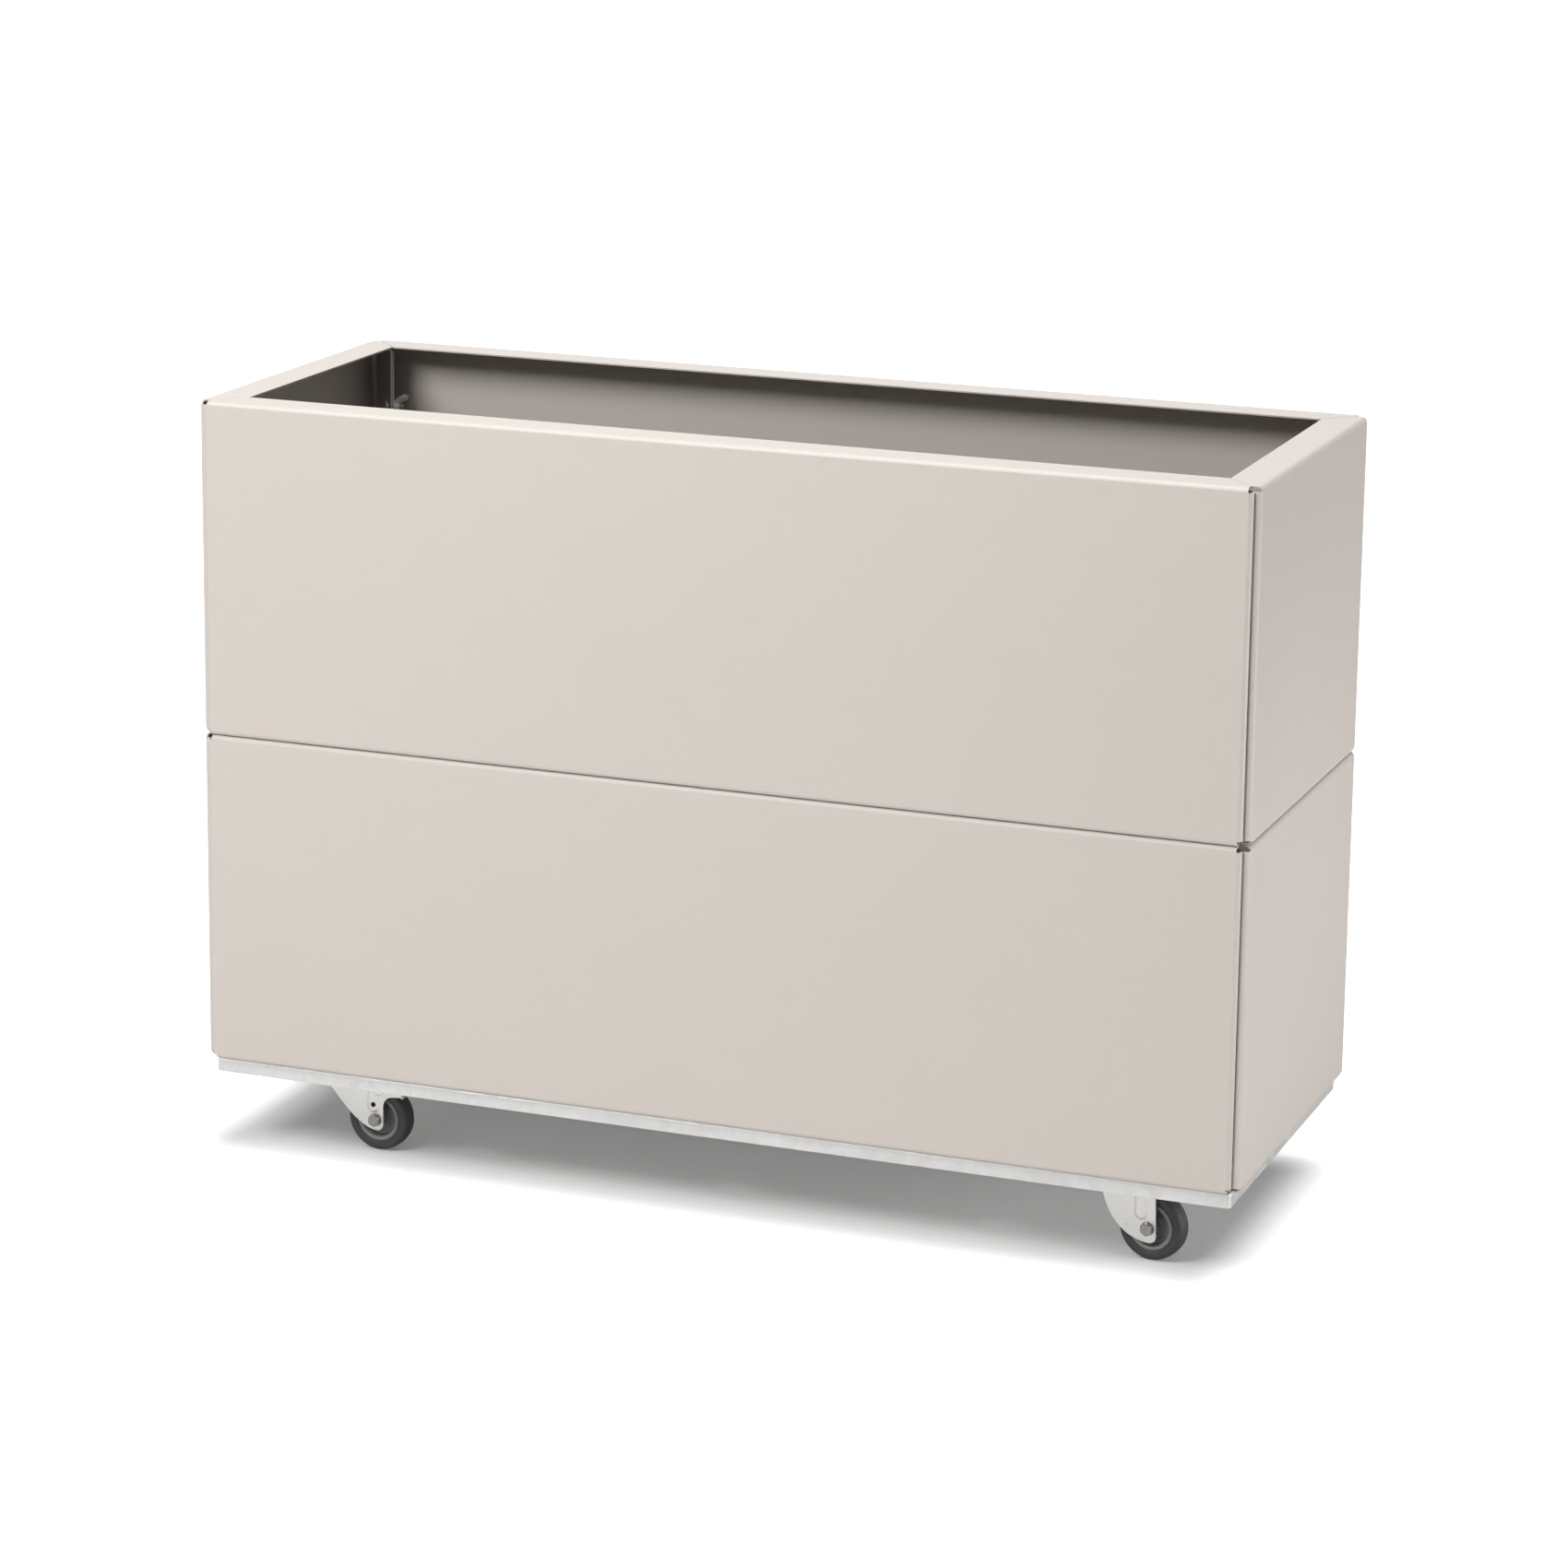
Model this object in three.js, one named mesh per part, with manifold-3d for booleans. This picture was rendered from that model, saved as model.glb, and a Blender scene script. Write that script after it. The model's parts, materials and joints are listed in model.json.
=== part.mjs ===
// Rolling planter: two stacked collars of folded sheet steel on a galvanised base pan with four
// swivel castors. Each collar is four folded panels, bolted together at the corners.
// Millimetres, +Z up. The origin is on the floor under the middle of the planter, the long side runs
// along X and the front faces -Y.
import * as THREE from "three";
import { mergeVertices } from "three/addons/utils/BufferGeometryUtils.js";
import Module from "manifold-3d";

const wasm = await Module();
wasm.setup();

// ---------------------------------------------------------------- driving dimensions
// Clearances
const FIT_GAP = 0.3; // between two pieces that touch
const MITRE_GAP = 1; // between the mitred ends of two flanges
const RELIEF_GAP = 3.5; // between a corner flange and the flanges above and below it
const BITE = 0.2; // how deep a fused part sinks into what carries it
const PAST = 1; // how far a cutting tool runs past what it cuts

// Collars
const LENGTH = 1200;
const WIDTH = 450;
const COLLAR_HEIGHT = 375;
const SHEET = 2;
const INNER_BEND = 2; // inside radius of the folds
const RIM_WIDTH = 43; // inward flange at the top and bottom of a panel
const CORNER_FLANGE_SETBACK = 1; // of the corner flange's end from the inner edge of the rim

// Bolts of the corner flanges, held in the end panels, with a wing nut on the long panel's side
const STUD_DIAMETER = 8;
const STUD_HEAD_BRIM = 5; // of the domed head round the bolt
const STUD_HEAD_HEIGHT = 4.5;
const DOME_FLAT = 0.6; // flat middle of a domed head, as a share of its radius
const STUD_REACH = 17; // past the clamped flanges
const STUD_FROM_FLANGE_END = 17;
const STUD_FROM_COLLAR_END = 74; // above the bottom and below the top of a collar
const WING_NUT_HEIGHT = 10;
const WING_NUT_BASE_WALL = 4; // round the bolt
const WING_NUT_TOP_WALL = 2.5;
const WING_SPAN = 39;
const WING_RISE = 20; // of the wing tips above the nut's seat
const WING_ELBOW = 6; // of the wings' lower corners above the seat
const WING_LIFT = 1; // of the wings' roots above the seat
const WING_TIP_SWEEP = 150; // degrees round the tip
const WING_THICKNESS = 3;
const WING_TIP_RADIUS = 5;
const WING_TILTS = [62, 118, 50, 100]; // degrees, how the wings came to stand when tightened

// Bolts that hold a collar down on the piece below it
const SEAM_BOLT_SPACING = 640;
const SEAM_BOLTS_PER_SIDE = 2;
const SEAM_BOLT_DIAMETER = 6;
const SEAM_BOLT_INSET = 27; // from the panel's face
const SEAM_BOLT_HEAD_HEIGHT = 2.4;
const SEAM_NUT_WALL = 2; // of the nut and the head round the bolt
const SEAM_NUT_HEIGHT = 5;
const BOLT_END = 3; // a bolt's end past its nut

// Base pan
const BASE_SHEET = 2;
const BASE_INSET = 9; // from the collar's faces
const BASE_DEPTH = 17.5; // of the down-turned lips
const DRAIN_DIAMETER = 14;
const DRAIN_SPACING_X = 300;
const DRAIN_SPACING_Y = 220;
const STIFFENER_SHEET = 2;
const STIFFENER_CROWN = 32; // width of the crown
const STIFFENER_FLARE = 2; // the sides lean out by this towards the brims
const STIFFENER_BRIM = 12;
const STIFFENER_DEPTH = 13;
const STIFFENER_AT = 150; // from the middle of the planter

// Castors
const CASTOR_FROM_END = 145; // swivel axis from the collar's end face
const CASTOR_FROM_SIDE = 80; // swivel axis from the collar's long face
const CASTOR_PLATE_LENGTH = 95;
const CASTOR_PLATE_WIDTH = 67;
const CASTOR_PLATE_THICKNESS = 3;
const CASTOR_PLATE_CORNER = 8;
const CASTOR_BOLT_FROM_END = 10; // of the plate
const CASTOR_BOLT_FROM_SIDE = 11;
const CASTOR_BOLT_DIAMETER = 8;
const CASTOR_NUT_WALL = 2.5; // of the nut and the head round the bolt
const CASTOR_NUT_HEIGHT = 5;
const RACE_DIAMETER = 44;
const RACE_DEPTH = 5; // pressed down from the plate
const RACE_SLOPE = 2; // of its side, inwards
const BEARING_HEIGHT = 6.4;
const BEARING_WALL = 3; // outside the race
const BEARING_CHAMFER = 2;
const BEARING_LIP = 2; // upstanding, round the race
const BEARING_BORE_GAP = 4; // round the kingpin
const KINGPIN_DIAMETER = 10;
const KINGPIN_HEAD_BRIM = 4;
const KINGPIN_HEAD_HEIGHT = 4;
const TRAIL = 36; // of the wheel's axle behind the swivel axis

// Forks, with places measured from the axle
const FORK_SHEET = 2.5;
const FORK_INNER_BEND = 2.5;
const FORK_SIDE_GAP = 2.5; // between the tyre and a leg
const FORK_CROWN_GAP = 12.5; // between the tyre and the crown
const FORK_NOSE = 22; // front of the fork ahead of the swivel axis
const FORK_BOSS_RIGHT = 10; // rear edge of a leg behind the axle
const FORK_BOSS_BOTTOM = 16; // lowest point of a leg below the axle
const BRAKED_BOSS_BOTTOM = 12;
const FORK_RIB_HEIGHT = 0.9;
const FORK_RIB_WIDTH = 15;
const FORK_RIB_AHEAD = 8; // middle of the rib ahead of the axle
const BRAKED_RIB_AHEAD = 2;
const FORK_RIB_BOTTOM = 9; // above the axle
const FORK_RIB_TOP = 6; // below the crown
const BRAKE_ARM_BEHIND_PIN = 12; // arm of a braked fork, round the pedal's pin
const BRAKE_ARM_ABOVE_PIN = 6;
const BRAKE_ARM_BELOW_PIN = 11.5;
const BRAKE_ARM_HOLLOW = 13; // radius between the leg and the arm
const FORK_EYE_DIAMETER = 6; // small hole in a braked fork's leg
const FORK_EYE = [-BRAKED_RIB_AHEAD, 18];

// Wheels
const WHEEL_DIAMETER = 75;
const TYRE_WIDTH = 22;
const TYRE_SHOULDER = 4;
const TYRE_THICKNESS = 11.5;
const TYRE_BEAD = 0.5; // of the tyre's inner edge past the hub's rim
const HUB_RIM_INSET = 2.5; // from the tyre's sides
const HUB_RIM_THICKNESS = 3.4;
const HUB_RIM_DRAFT = 1.5;
const HUB_WEB = 7;
const HUB_BOSS_WALL = 5.5; // round the axle
const HUB_BOSS_DRAFT = 1;
const AXLE_DIAMETER = 8;
const AXLE_NUT_WALL = 2.5; // of the nut and the head round the axle
const AXLE_HEAD_HEIGHT = 5;
const AXLE_NUT_HEIGHT = 6.5;
const AXLE_END = 1; // past its nut

// Brake pedals
const PEDAL_PIN_ANGLE = 61.8; // degrees round the axle, up from the rear of the wheel
const PEDAL_PIN_CLEARANCE = 9; // from the tread to the pin's middle
const PEDAL_PIN_DIAMETER = 5;
const PEDAL_PIN_END = 1.5; // past the fork's legs
const PEDAL_EYE_WALL = 2.5; // round the pin
const PEDAL_SIDE_GAP = 2.5; // between the pedal and a leg
const PEDAL_TREAD_WIDTH = 30; // foot end, behind the fork
const PEDAL_TREAD_GAP = 3; // from the fork's arms to the wider foot end
const PEDAL_TREAD_CORNER = 6;
const PEDAL_REACH = 26; // behind the fork's arms
const PEDAL_RISE = 5.5; // of the pedal's top above its pin
const PEDAL_THICKNESS = 3;
const SHOE_CLEARANCE = 3; // from the tread with the brake off
const SHOE_THICKNESS = 4;
const SHOE_SWEEP = 18; // degrees round the tread
const SHOE_BELOW_PIN = 3.8; // degrees

// Facets of round things
const BEND_STEPS = 3;
const OUTLINE_STEPS = 4;
const BOLT_ROUND = 6;
const SMALL_ROUND = 8;
const RACE_ROUND = 10;
const HUB_ROUND = 10;
const WHEEL_ROUND = 20;

// ---------------------------------------------------------------- levels and places
const BEND_RADIUS = SHEET + INNER_BEND; // outside the folds
const BASE_BEND = BASE_SHEET + INNER_BEND;
const FORK_BEND = FORK_SHEET + FORK_INNER_BEND;
const STUD_HOLE = STUD_DIAMETER + 2 * FIT_GAP;
const SEAM_BOLT_HOLE = SEAM_BOLT_DIAMETER + 2 * FIT_GAP;
const STUD_INSET = RIM_WIDTH - CORNER_FLANGE_SETBACK - STUD_FROM_FLANGE_END * Math.SQRT1_2;

// Upwards from the floor
const WHEEL_RADIUS = WHEEL_DIAMETER / 2;
const FORK_TOP = WHEEL_DIAMETER + FORK_CROWN_GAP + FORK_SHEET;
const BEARING_TOP = FORK_TOP + FIT_GAP + BEARING_HEIGHT;
const PLATE_BOTTOM = BEARING_TOP + FIT_GAP + RACE_DEPTH;
const PLATE_TOP = PLATE_BOTTOM + CASTOR_PLATE_THICKNESS;
const DECK_BOTTOM = PLATE_TOP + FIT_GAP;
const DECK_TOP = DECK_BOTTOM + BASE_SHEET;
const LOWER_COLLAR_Z = DECK_TOP + FIT_GAP;
const UPPER_COLLAR_Z = LOWER_COLLAR_Z + COLLAR_HEIGHT + FIT_GAP;

// Sideways from the wheel's middle plane
const HUB_RIM_HALF = TYRE_WIDTH / 2 - HUB_RIM_INSET;
const FORK_INNER = TYRE_WIDTH / 2 + FORK_SIDE_GAP;
const FORK_OUTER = FORK_INNER + FORK_SHEET;

// Round the axle
const TYRE_BORE = WHEEL_DIAMETER - 2 * TYRE_THICKNESS;
const FORK_CROWN = FORK_TOP - WHEEL_RADIUS;
const pedalPinRadius = WHEEL_RADIUS + PEDAL_PIN_CLEARANCE;
const pedalPinAngle = THREE.MathUtils.degToRad(PEDAL_PIN_ANGLE);
const PEDAL_PIN = [pedalPinRadius * Math.cos(pedalPinAngle), pedalPinRadius * Math.sin(pedalPinAngle)];
const BRAKE_ARM_REACH = PEDAL_PIN[0] + BRAKE_ARM_BEHIND_PIN;
const BRAKE_ARM_TOP = PEDAL_PIN[1] + BRAKE_ARM_ABOVE_PIN;
const BRAKE_ARM_BOTTOM = PEDAL_PIN[1] - BRAKE_ARM_BELOW_PIN;

const castorPlaces = {
  front_left: { x: -1, y: -1, swivel: -3, braked: true },
  front_right: { x: 1, y: -1, swivel: -9, braked: false },
  rear_left: { x: -1, y: 1, swivel: 5, braked: true },
  rear_right: { x: 1, y: 1, swivel: -4, braked: false },
};
const seamBoltPlaces = Array.from(
  { length: SEAM_BOLTS_PER_SIDE },
  (_, i) => (i - (SEAM_BOLTS_PER_SIDE - 1) / 2) * SEAM_BOLT_SPACING,
);

// ---------------------------------------------------------------- materials
function finish(color, roughness, metalness) {
  return new THREE.MeshStandardMaterial({ color, roughness, metalness });
}
const coating = () => finish(0xd9d2c9, 0.45, 0.05);
const galvanised = () => finish(0xc9cbca, 0.4, 0.85);
const zinc = () => finish(0xd8d6d2, 0.3, 0.95);
const rubber = () => finish(0x3b3b3b, 0.75, 0);
const plastic = () => finish(0x5a5a5a, 0.6, 0);

// ---------------------------------------------------------------- solids
// A closed geometry as a solid that can be joined and cut.
function solid(geometry) {
  const bare = new THREE.BufferGeometry();
  bare.setAttribute("position", geometry.getAttribute("position"));
  if (geometry.index) bare.setIndex(geometry.index);
  const merged = mergeVertices(bare, 1e-4);
  return new wasm.Manifold(
    new wasm.Mesh({
      numProp: 3,
      vertProperties: new Float32Array(merged.attributes.position.array),
      triVerts: new Uint32Array(merged.index.array),
    }),
  );
}

function join(...solids) {
  return solids.reduce((a, b) => a.add(b));
}

function cut(body, ...tools) {
  return tools.reduce((a, b) => a.subtract(b), body);
}

// A named mesh of a solid, with flat facets.
function piece(name, body, material) {
  const mesh = body.getMesh();
  const geometry = new THREE.BufferGeometry();
  geometry.setAttribute("position", new THREE.BufferAttribute(new Float32Array(mesh.vertProperties), 3));
  geometry.setIndex(new THREE.BufferAttribute(new Uint32Array(mesh.triVerts), 1));
  const faceted = geometry.toNonIndexed();
  faceted.computeVertexNormals();
  const result = new THREE.Mesh(faceted, material);
  result.name = name;
  return result;
}

// An outline given thickness. The outline's x and y, and the thickness, run along the three world
// directions that the plane names; the thickness starts at `from`.
const PLANES = {
  xy: [new THREE.Vector3(1, 0, 0), new THREE.Vector3(0, 1, 0), new THREE.Vector3(0, 0, 1)],
  yz: [new THREE.Vector3(0, 1, 0), new THREE.Vector3(0, 0, 1), new THREE.Vector3(1, 0, 0)],
  xz: [new THREE.Vector3(1, 0, 0), new THREE.Vector3(0, 0, 1), new THREE.Vector3(0, -1, 0)],
};
function extrude(shape, plane, from, to, curveSegments = BEND_STEPS) {
  const geometry = new THREE.ExtrudeGeometry(shape, {
    depth: to - from,
    bevelEnabled: false,
    curveSegments,
  });
  geometry.translate(0, 0, plane === "xz" ? -to : from);
  geometry.applyMatrix4(new THREE.Matrix4().makeBasis(...PLANES[plane]));
  return solid(geometry);
}

// A profile of [radius, height] points turned round an axis through `at`. The profile closes on
// itself, or starts and ends on the axis.
function turn(profile, at, direction, segments = SMALL_ROUND, phase = 0) {
  const points = profile.map(([r, h]) => new THREE.Vector2(r, h));
  const area = THREE.ShapeUtils.area(points);
  if (area < 0) points.reverse();
  const onAxis = points[0].x === 0 && points[points.length - 1].x === 0;
  if (!onAxis) points.push(points[0].clone());
  const geometry = new THREE.LatheGeometry(points, segments, phase);
  const turned = new THREE.Quaternion().setFromUnitVectors(new THREE.Vector3(0, 1, 0), direction);
  geometry.applyQuaternion(turned);
  geometry.translate(at.x, at.y, at.z);
  return solid(geometry);
}

function rod(diameter, from, to, segments = SMALL_ROUND, phase = 0) {
  const axis = new THREE.Vector3().subVectors(to, from);
  const length = axis.length();
  const r = diameter / 2;
  return turn([[0, 0], [r, 0], [r, length], [0, length]], from, axis.normalize(), segments, phase);
}

// How much wider a round of flat facets is at its corners than across them. A hole is drawn round
// its circle and a shaft inside its own, so that a shaft turned to any angle clears its hole.
const corners = (segments) => 1 / Math.cos(Math.PI / segments);

function hole(diameter, from, to, segments = SMALL_ROUND) {
  return rod(diameter * corners(segments), from, to, segments);
}

// A hexagonal prism, measured across its flats.
function hexagon(across, from, to) {
  return rod(across * corners(6), from, to, 6);
}

const at = (x, y, z) => new THREE.Vector3(x, y, z);
const UP = at(0, 0, 1);

function roundedRectangle(width, height, radius) {
  const x = width / 2 - radius;
  const y = height / 2 - radius;
  const shape = new THREE.Shape();
  shape.absarc(x, y, radius, 0, Math.PI / 2);
  shape.absarc(-x, y, radius, Math.PI / 2, Math.PI);
  shape.absarc(-x, -y, radius, Math.PI, 1.5 * Math.PI);
  shape.absarc(x, -y, radius, 1.5 * Math.PI, 2 * Math.PI);
  return shape;
}

// ---------------------------------------------------------------- collar panels
// A panel lies with its length along X, its outer face on y = 0 and its inside towards +Y.

// Section of a panel: the face, with a flange folded inwards at the top and the bottom.
function channelSection() {
  const [t, r, w, h] = [SHEET, BEND_RADIUS, RIM_WIDTH, COLLAR_HEIGHT];
  const shape = new THREE.Shape();
  shape.moveTo(w, h);
  shape.lineTo(r, h);
  shape.absarc(r, h - r, r, Math.PI / 2, Math.PI);
  shape.lineTo(0, r);
  shape.absarc(r, r, r, Math.PI, 1.5 * Math.PI);
  shape.lineTo(w, 0);
  shape.lineTo(w, t);
  shape.lineTo(r, t); // inside, where the bend is tight, it is a plain chamfer
  shape.lineTo(t, r);
  shape.lineTo(t, h - r);
  shape.lineTo(r, h - t);
  shape.lineTo(w, h - t);
  shape.closePath();
  return shape;
}

// Where the corner fold starts on a panel's face, measured from its middle. The fold turns the sheet
// by 135 degrees onto the mitre plane, so that the corner flanges of two panels meet there.
function cornerFoldStart(length) {
  return length / 2 - BEND_RADIUS - Math.SQRT2 * (BEND_RADIUS + FIT_GAP / 2);
}

// Outline of a panel seen from above: mitred flanges, with a square relief notch at each fold.
function mitreOutline(length) {
  const fold = cornerFoldStart(length);
  const mitre = length / 2 - MITRE_GAP / Math.SQRT2;
  const deep = RIM_WIDTH + PAST;
  const shape = new THREE.Shape();
  shape.moveTo(-fold, -PAST);
  shape.lineTo(fold, -PAST);
  shape.lineTo(fold, mitre - fold);
  shape.lineTo(mitre - deep, deep);
  shape.lineTo(deep - mitre, deep);
  shape.lineTo(-fold, mitre - fold);
  return shape;
}

// Plan section of the corner flange at the panel's end on the given side, folded onto the mitre.
function cornerFlangeSection(length, side) {
  const [t, r] = [SHEET, BEND_RADIUS];
  const fold = cornerFoldStart(length);
  const slope = Math.SQRT1_2;
  const end = RIM_WIDTH - CORNER_FLANGE_SETBACK;
  const mitreX = (y) => length / 2 - FIT_GAP * slope - y;
  const shape = new THREE.Shape();
  shape.moveTo(fold - BITE, 0);
  shape.lineTo(fold, 0);
  shape.absarc(fold, r, r, -Math.PI / 2, Math.PI / 4);
  shape.lineTo(mitreX(end), end);
  shape.lineTo(mitreX(end) - t * slope, end - t * slope);
  shape.lineTo(fold + (r - t) * slope, r + (r - t) * slope);
  shape.lineTo(fold, t);
  shape.lineTo(fold - BITE, t);
  const points = shape.getPoints(BEND_STEPS + 1).map((p) => new THREE.Vector2(side * p.x, p.y));
  return new THREE.Shape(points);
}

// The middle of a corner bolt on the mitre plane, and the direction from this panel to the next.
function cornerBoltAxis(length, side, z) {
  return {
    middle: at(side * (length / 2 - STUD_INSET), STUD_INSET, z),
    outward: at(side * Math.SQRT1_2, Math.SQRT1_2, 0),
  };
}

// A bolt with a domed head against the corner flange, through to the neighbour's side.
function cornerBolt(axis) {
  const seat = FIT_GAP / 2 + SHEET;
  const r = STUD_DIAMETER / 2;
  const head = r + STUD_HEAD_BRIM;
  const start = axis.middle.clone().addScaledVector(axis.outward, -seat - STUD_HEAD_HEIGHT);
  const length = STUD_HEAD_HEIGHT + 2 * seat + STUD_REACH;
  const brim = STUD_HEAD_HEIGHT + BITE; // the head bites into the flange that holds it
  const profile = [
    [0, 0],
    [DOME_FLAT * head, 0],
    [head, brim],
    [r, brim],
    [r, length],
    [0, length],
  ];
  return turn(profile, start, axis.outward, BOLT_ROUND);
}

// A hole for the neighbour's bolt in the corner flange.
function cornerHole(axis) {
  const from = axis.middle.clone().addScaledVector(axis.outward, -2 * SHEET);
  const to = axis.middle.clone().addScaledVector(axis.outward, SHEET);
  return hole(STUD_HOLE, from, to, BOLT_ROUND);
}

// A bolt with its nut: a hexagon at each end of the shank, with the given wall round the bolt.
function boltWithNut({ x, y, diameter, wall, headTop, headSeat, nutTop, nutBottom }) {
  const r = diameter / 2;
  const hex = (r + wall) * corners(BOLT_ROUND);
  const profile = [
    [0, nutBottom - BOLT_END],
    [r, nutBottom - BOLT_END],
    [hex, nutBottom],
    [hex, nutTop],
    [r, nutTop],
    [r, headSeat],
    [hex, headSeat],
    [hex, headTop],
    [0, headTop],
  ];
  return turn(profile, at(x, y, 0), UP, BOLT_ROUND);
}

// A bolt down through the bottom flange and the sheet below it, with its nut.
function seamBolt(x, sheetBelow) {
  const nutTop = -2 * FIT_GAP - sheetBelow;
  return boltWithNut({
    x,
    y: SEAM_BOLT_INSET,
    diameter: SEAM_BOLT_DIAMETER,
    wall: SEAM_NUT_WALL,
    headTop: SHEET + SEAM_BOLT_HEAD_HEIGHT,
    headSeat: SHEET - BITE,
    nutTop,
    nutBottom: nutTop - SEAM_NUT_HEIGHT,
  });
}

// One panel of a collar. Options: endPanel holds the corner bolts, sheetBelow is the sheet that the
// seam bolts clamp (0 for none), and drilledRim has the holes for the bolts of the collar above.
function panel(length, { endPanel = false, sheetBelow = 0, drilledRim = false }) {
  const channel = extrude(channelSection(), "yz", -length / 2, length / 2);
  let body = channel.intersect(extrude(mitreOutline(length), "xy", -PAST, COLLAR_HEIGHT + PAST));
  const foot = SHEET + RELIEF_GAP;
  for (const side of [-1, 1]) {
    const section = cornerFlangeSection(length, side);
    body = body.add(extrude(section, "xy", foot, COLLAR_HEIGHT - foot));
    for (const z of [STUD_FROM_COLLAR_END, COLLAR_HEIGHT - STUD_FROM_COLLAR_END]) {
      const axis = cornerBoltAxis(length, side, z);
      body = endPanel ? body.add(cornerBolt(axis)) : body.subtract(cornerHole(axis));
    }
  }
  for (const x of seamBoltPlaces) {
    if (sheetBelow) body = body.add(seamBolt(x, sheetBelow));
    if (drilledRim) {
      const low = at(x, SEAM_BOLT_INSET, COLLAR_HEIGHT - SHEET - PAST);
      const high = at(x, SEAM_BOLT_INSET, COLLAR_HEIGHT + PAST);
      body = body.subtract(hole(SEAM_BOLT_HOLE, low, high, BOLT_ROUND));
    }
  }
  return body;
}

// A wing nut with its seat on z = 0 and its wings spread along X.
function wingNut() {
  const base = STUD_DIAMETER / 2 + WING_NUT_BASE_WALL;
  const top = STUD_DIAMETER / 2 + WING_NUT_TOP_WALL;
  const bore = (STUD_HOLE / 2) * corners(BOLT_ROUND);
  const h = WING_NUT_HEIGHT;
  const nut = turn([[bore, 0], [base, 0], [top, h], [bore, h]], at(0, 0, 0), UP, BOLT_ROUND);
  const inner = (bore + top) / 2; // the wings' roots end inside the nut's wall
  const [tipX, tipY] = [WING_SPAN / 2 - WING_TIP_RADIUS, WING_RISE - WING_TIP_RADIUS];
  const wing = (side) => {
    const shape = new THREE.Shape();
    shape.moveTo(inner, WING_LIFT);
    shape.lineTo(base, WING_LIFT);
    shape.lineTo(tipX, WING_ELBOW);
    shape.absarc(tipX, tipY, WING_TIP_RADIUS, 0, THREE.MathUtils.degToRad(WING_TIP_SWEEP));
    shape.lineTo(inner, h - BITE);
    const points = shape.getPoints(BEND_STEPS).map((p) => new THREE.Vector2(side * p.x, p.y));
    return extrude(new THREE.Shape(points), "xz", -WING_THICKNESS / 2, WING_THICKNESS / 2);
  };
  return join(nut, wing(-1), wing(1));
}

// A wing nut on the bolt at the given corner, with its axis square to the mitre plane and its wings
// tilted up by the given angle.
function fittedWingNut(name, { x, y }, z, tilt) {
  const axis = at(-x * Math.SQRT1_2, y * Math.SQRT1_2, 0);
  const inward = at(-x * Math.SQRT1_2, -y * Math.SQRT1_2, 0);
  const spread = inward.multiplyScalar(Math.cos(tilt)).addScaledVector(UP, Math.sin(tilt));
  const across = new THREE.Vector3().crossVectors(axis, spread);
  const seat = 1.5 * FIT_GAP + SHEET; // from the mitre plane
  const place = at(x * (LENGTH / 2 - STUD_INSET), y * (WIDTH / 2 - STUD_INSET), z);
  place.addScaledVector(axis, seat);
  const nut = piece(name, wingNut(), zinc());
  nut.applyMatrix4(new THREE.Matrix4().makeBasis(spread, across, axis).setPosition(place));
  return nut;
}

// The wing nuts of one collar, each on the long panel's side of its corner.
function wingNuts(collar, collarZ) {
  const group = new THREE.Group();
  const levels = { low: STUD_FROM_COLLAR_END, high: COLLAR_HEIGHT - STUD_FROM_COLLAR_END };
  Object.entries(levels).forEach(([level, height], row) => {
    Object.entries(castorPlaces).forEach(([corner, place], column) => {
      const tilt = THREE.MathUtils.degToRad(WING_TILTS[(column + 1 - row) % WING_TILTS.length]);
      const name = `${collar}_wing_nut_${corner}_${level}`;
      group.add(fittedWingNut(name, place, collarZ + height, tilt));
    });
  });
  return group;
}

// One collar: two long panels, two end panels and the wing nuts.
function collar(name, z, sheetBelow, drilledRim) {
  const group = new THREE.Group();
  const sides = {
    front: { turn: 0, long: true },
    right: { turn: 90, long: false },
    back: { turn: 180, long: true },
    left: { turn: 270, long: false },
  };
  for (const [side, { turn: degrees, long }] of Object.entries(sides)) {
    const length = long ? LENGTH : WIDTH;
    const options = long ? { sheetBelow, drilledRim } : { endPanel: true };
    const mesh = piece(`${name}_${side}_panel`, panel(length, options), coating());
    const angle = THREE.MathUtils.degToRad(degrees);
    const out = (long ? WIDTH : LENGTH) / 2;
    mesh.position.set(out * Math.sin(angle), -out * Math.cos(angle), z);
    mesh.rotation.z = angle;
    group.add(mesh);
  }
  group.add(wingNuts(name, z));
  return group;
}

// ---------------------------------------------------------------- base
// Section of a down-turned pan or hat, from its crown at `top` to its foot at `bottom`.
function archSection(width, top, bottom, radius) {
  const x = width / 2;
  const shape = new THREE.Shape();
  shape.moveTo(x, bottom);
  shape.lineTo(x, top - radius);
  shape.absarc(x - radius, top - radius, radius, 0, Math.PI / 2);
  shape.absarc(radius - x, top - radius, radius, Math.PI / 2, Math.PI);
  shape.lineTo(-x, bottom);
  return shape;
}

// A block with its upper edges rounded along all four sides.
function roundedBlock(length, width, top, bottom, radius) {
  const along = extrude(archSection(width, top, bottom, radius), "yz", -length / 2, length / 2);
  const across = extrude(archSection(length, top, bottom, radius), "xz", -width / 2, width / 2);
  return along.intersect(across);
}

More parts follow.
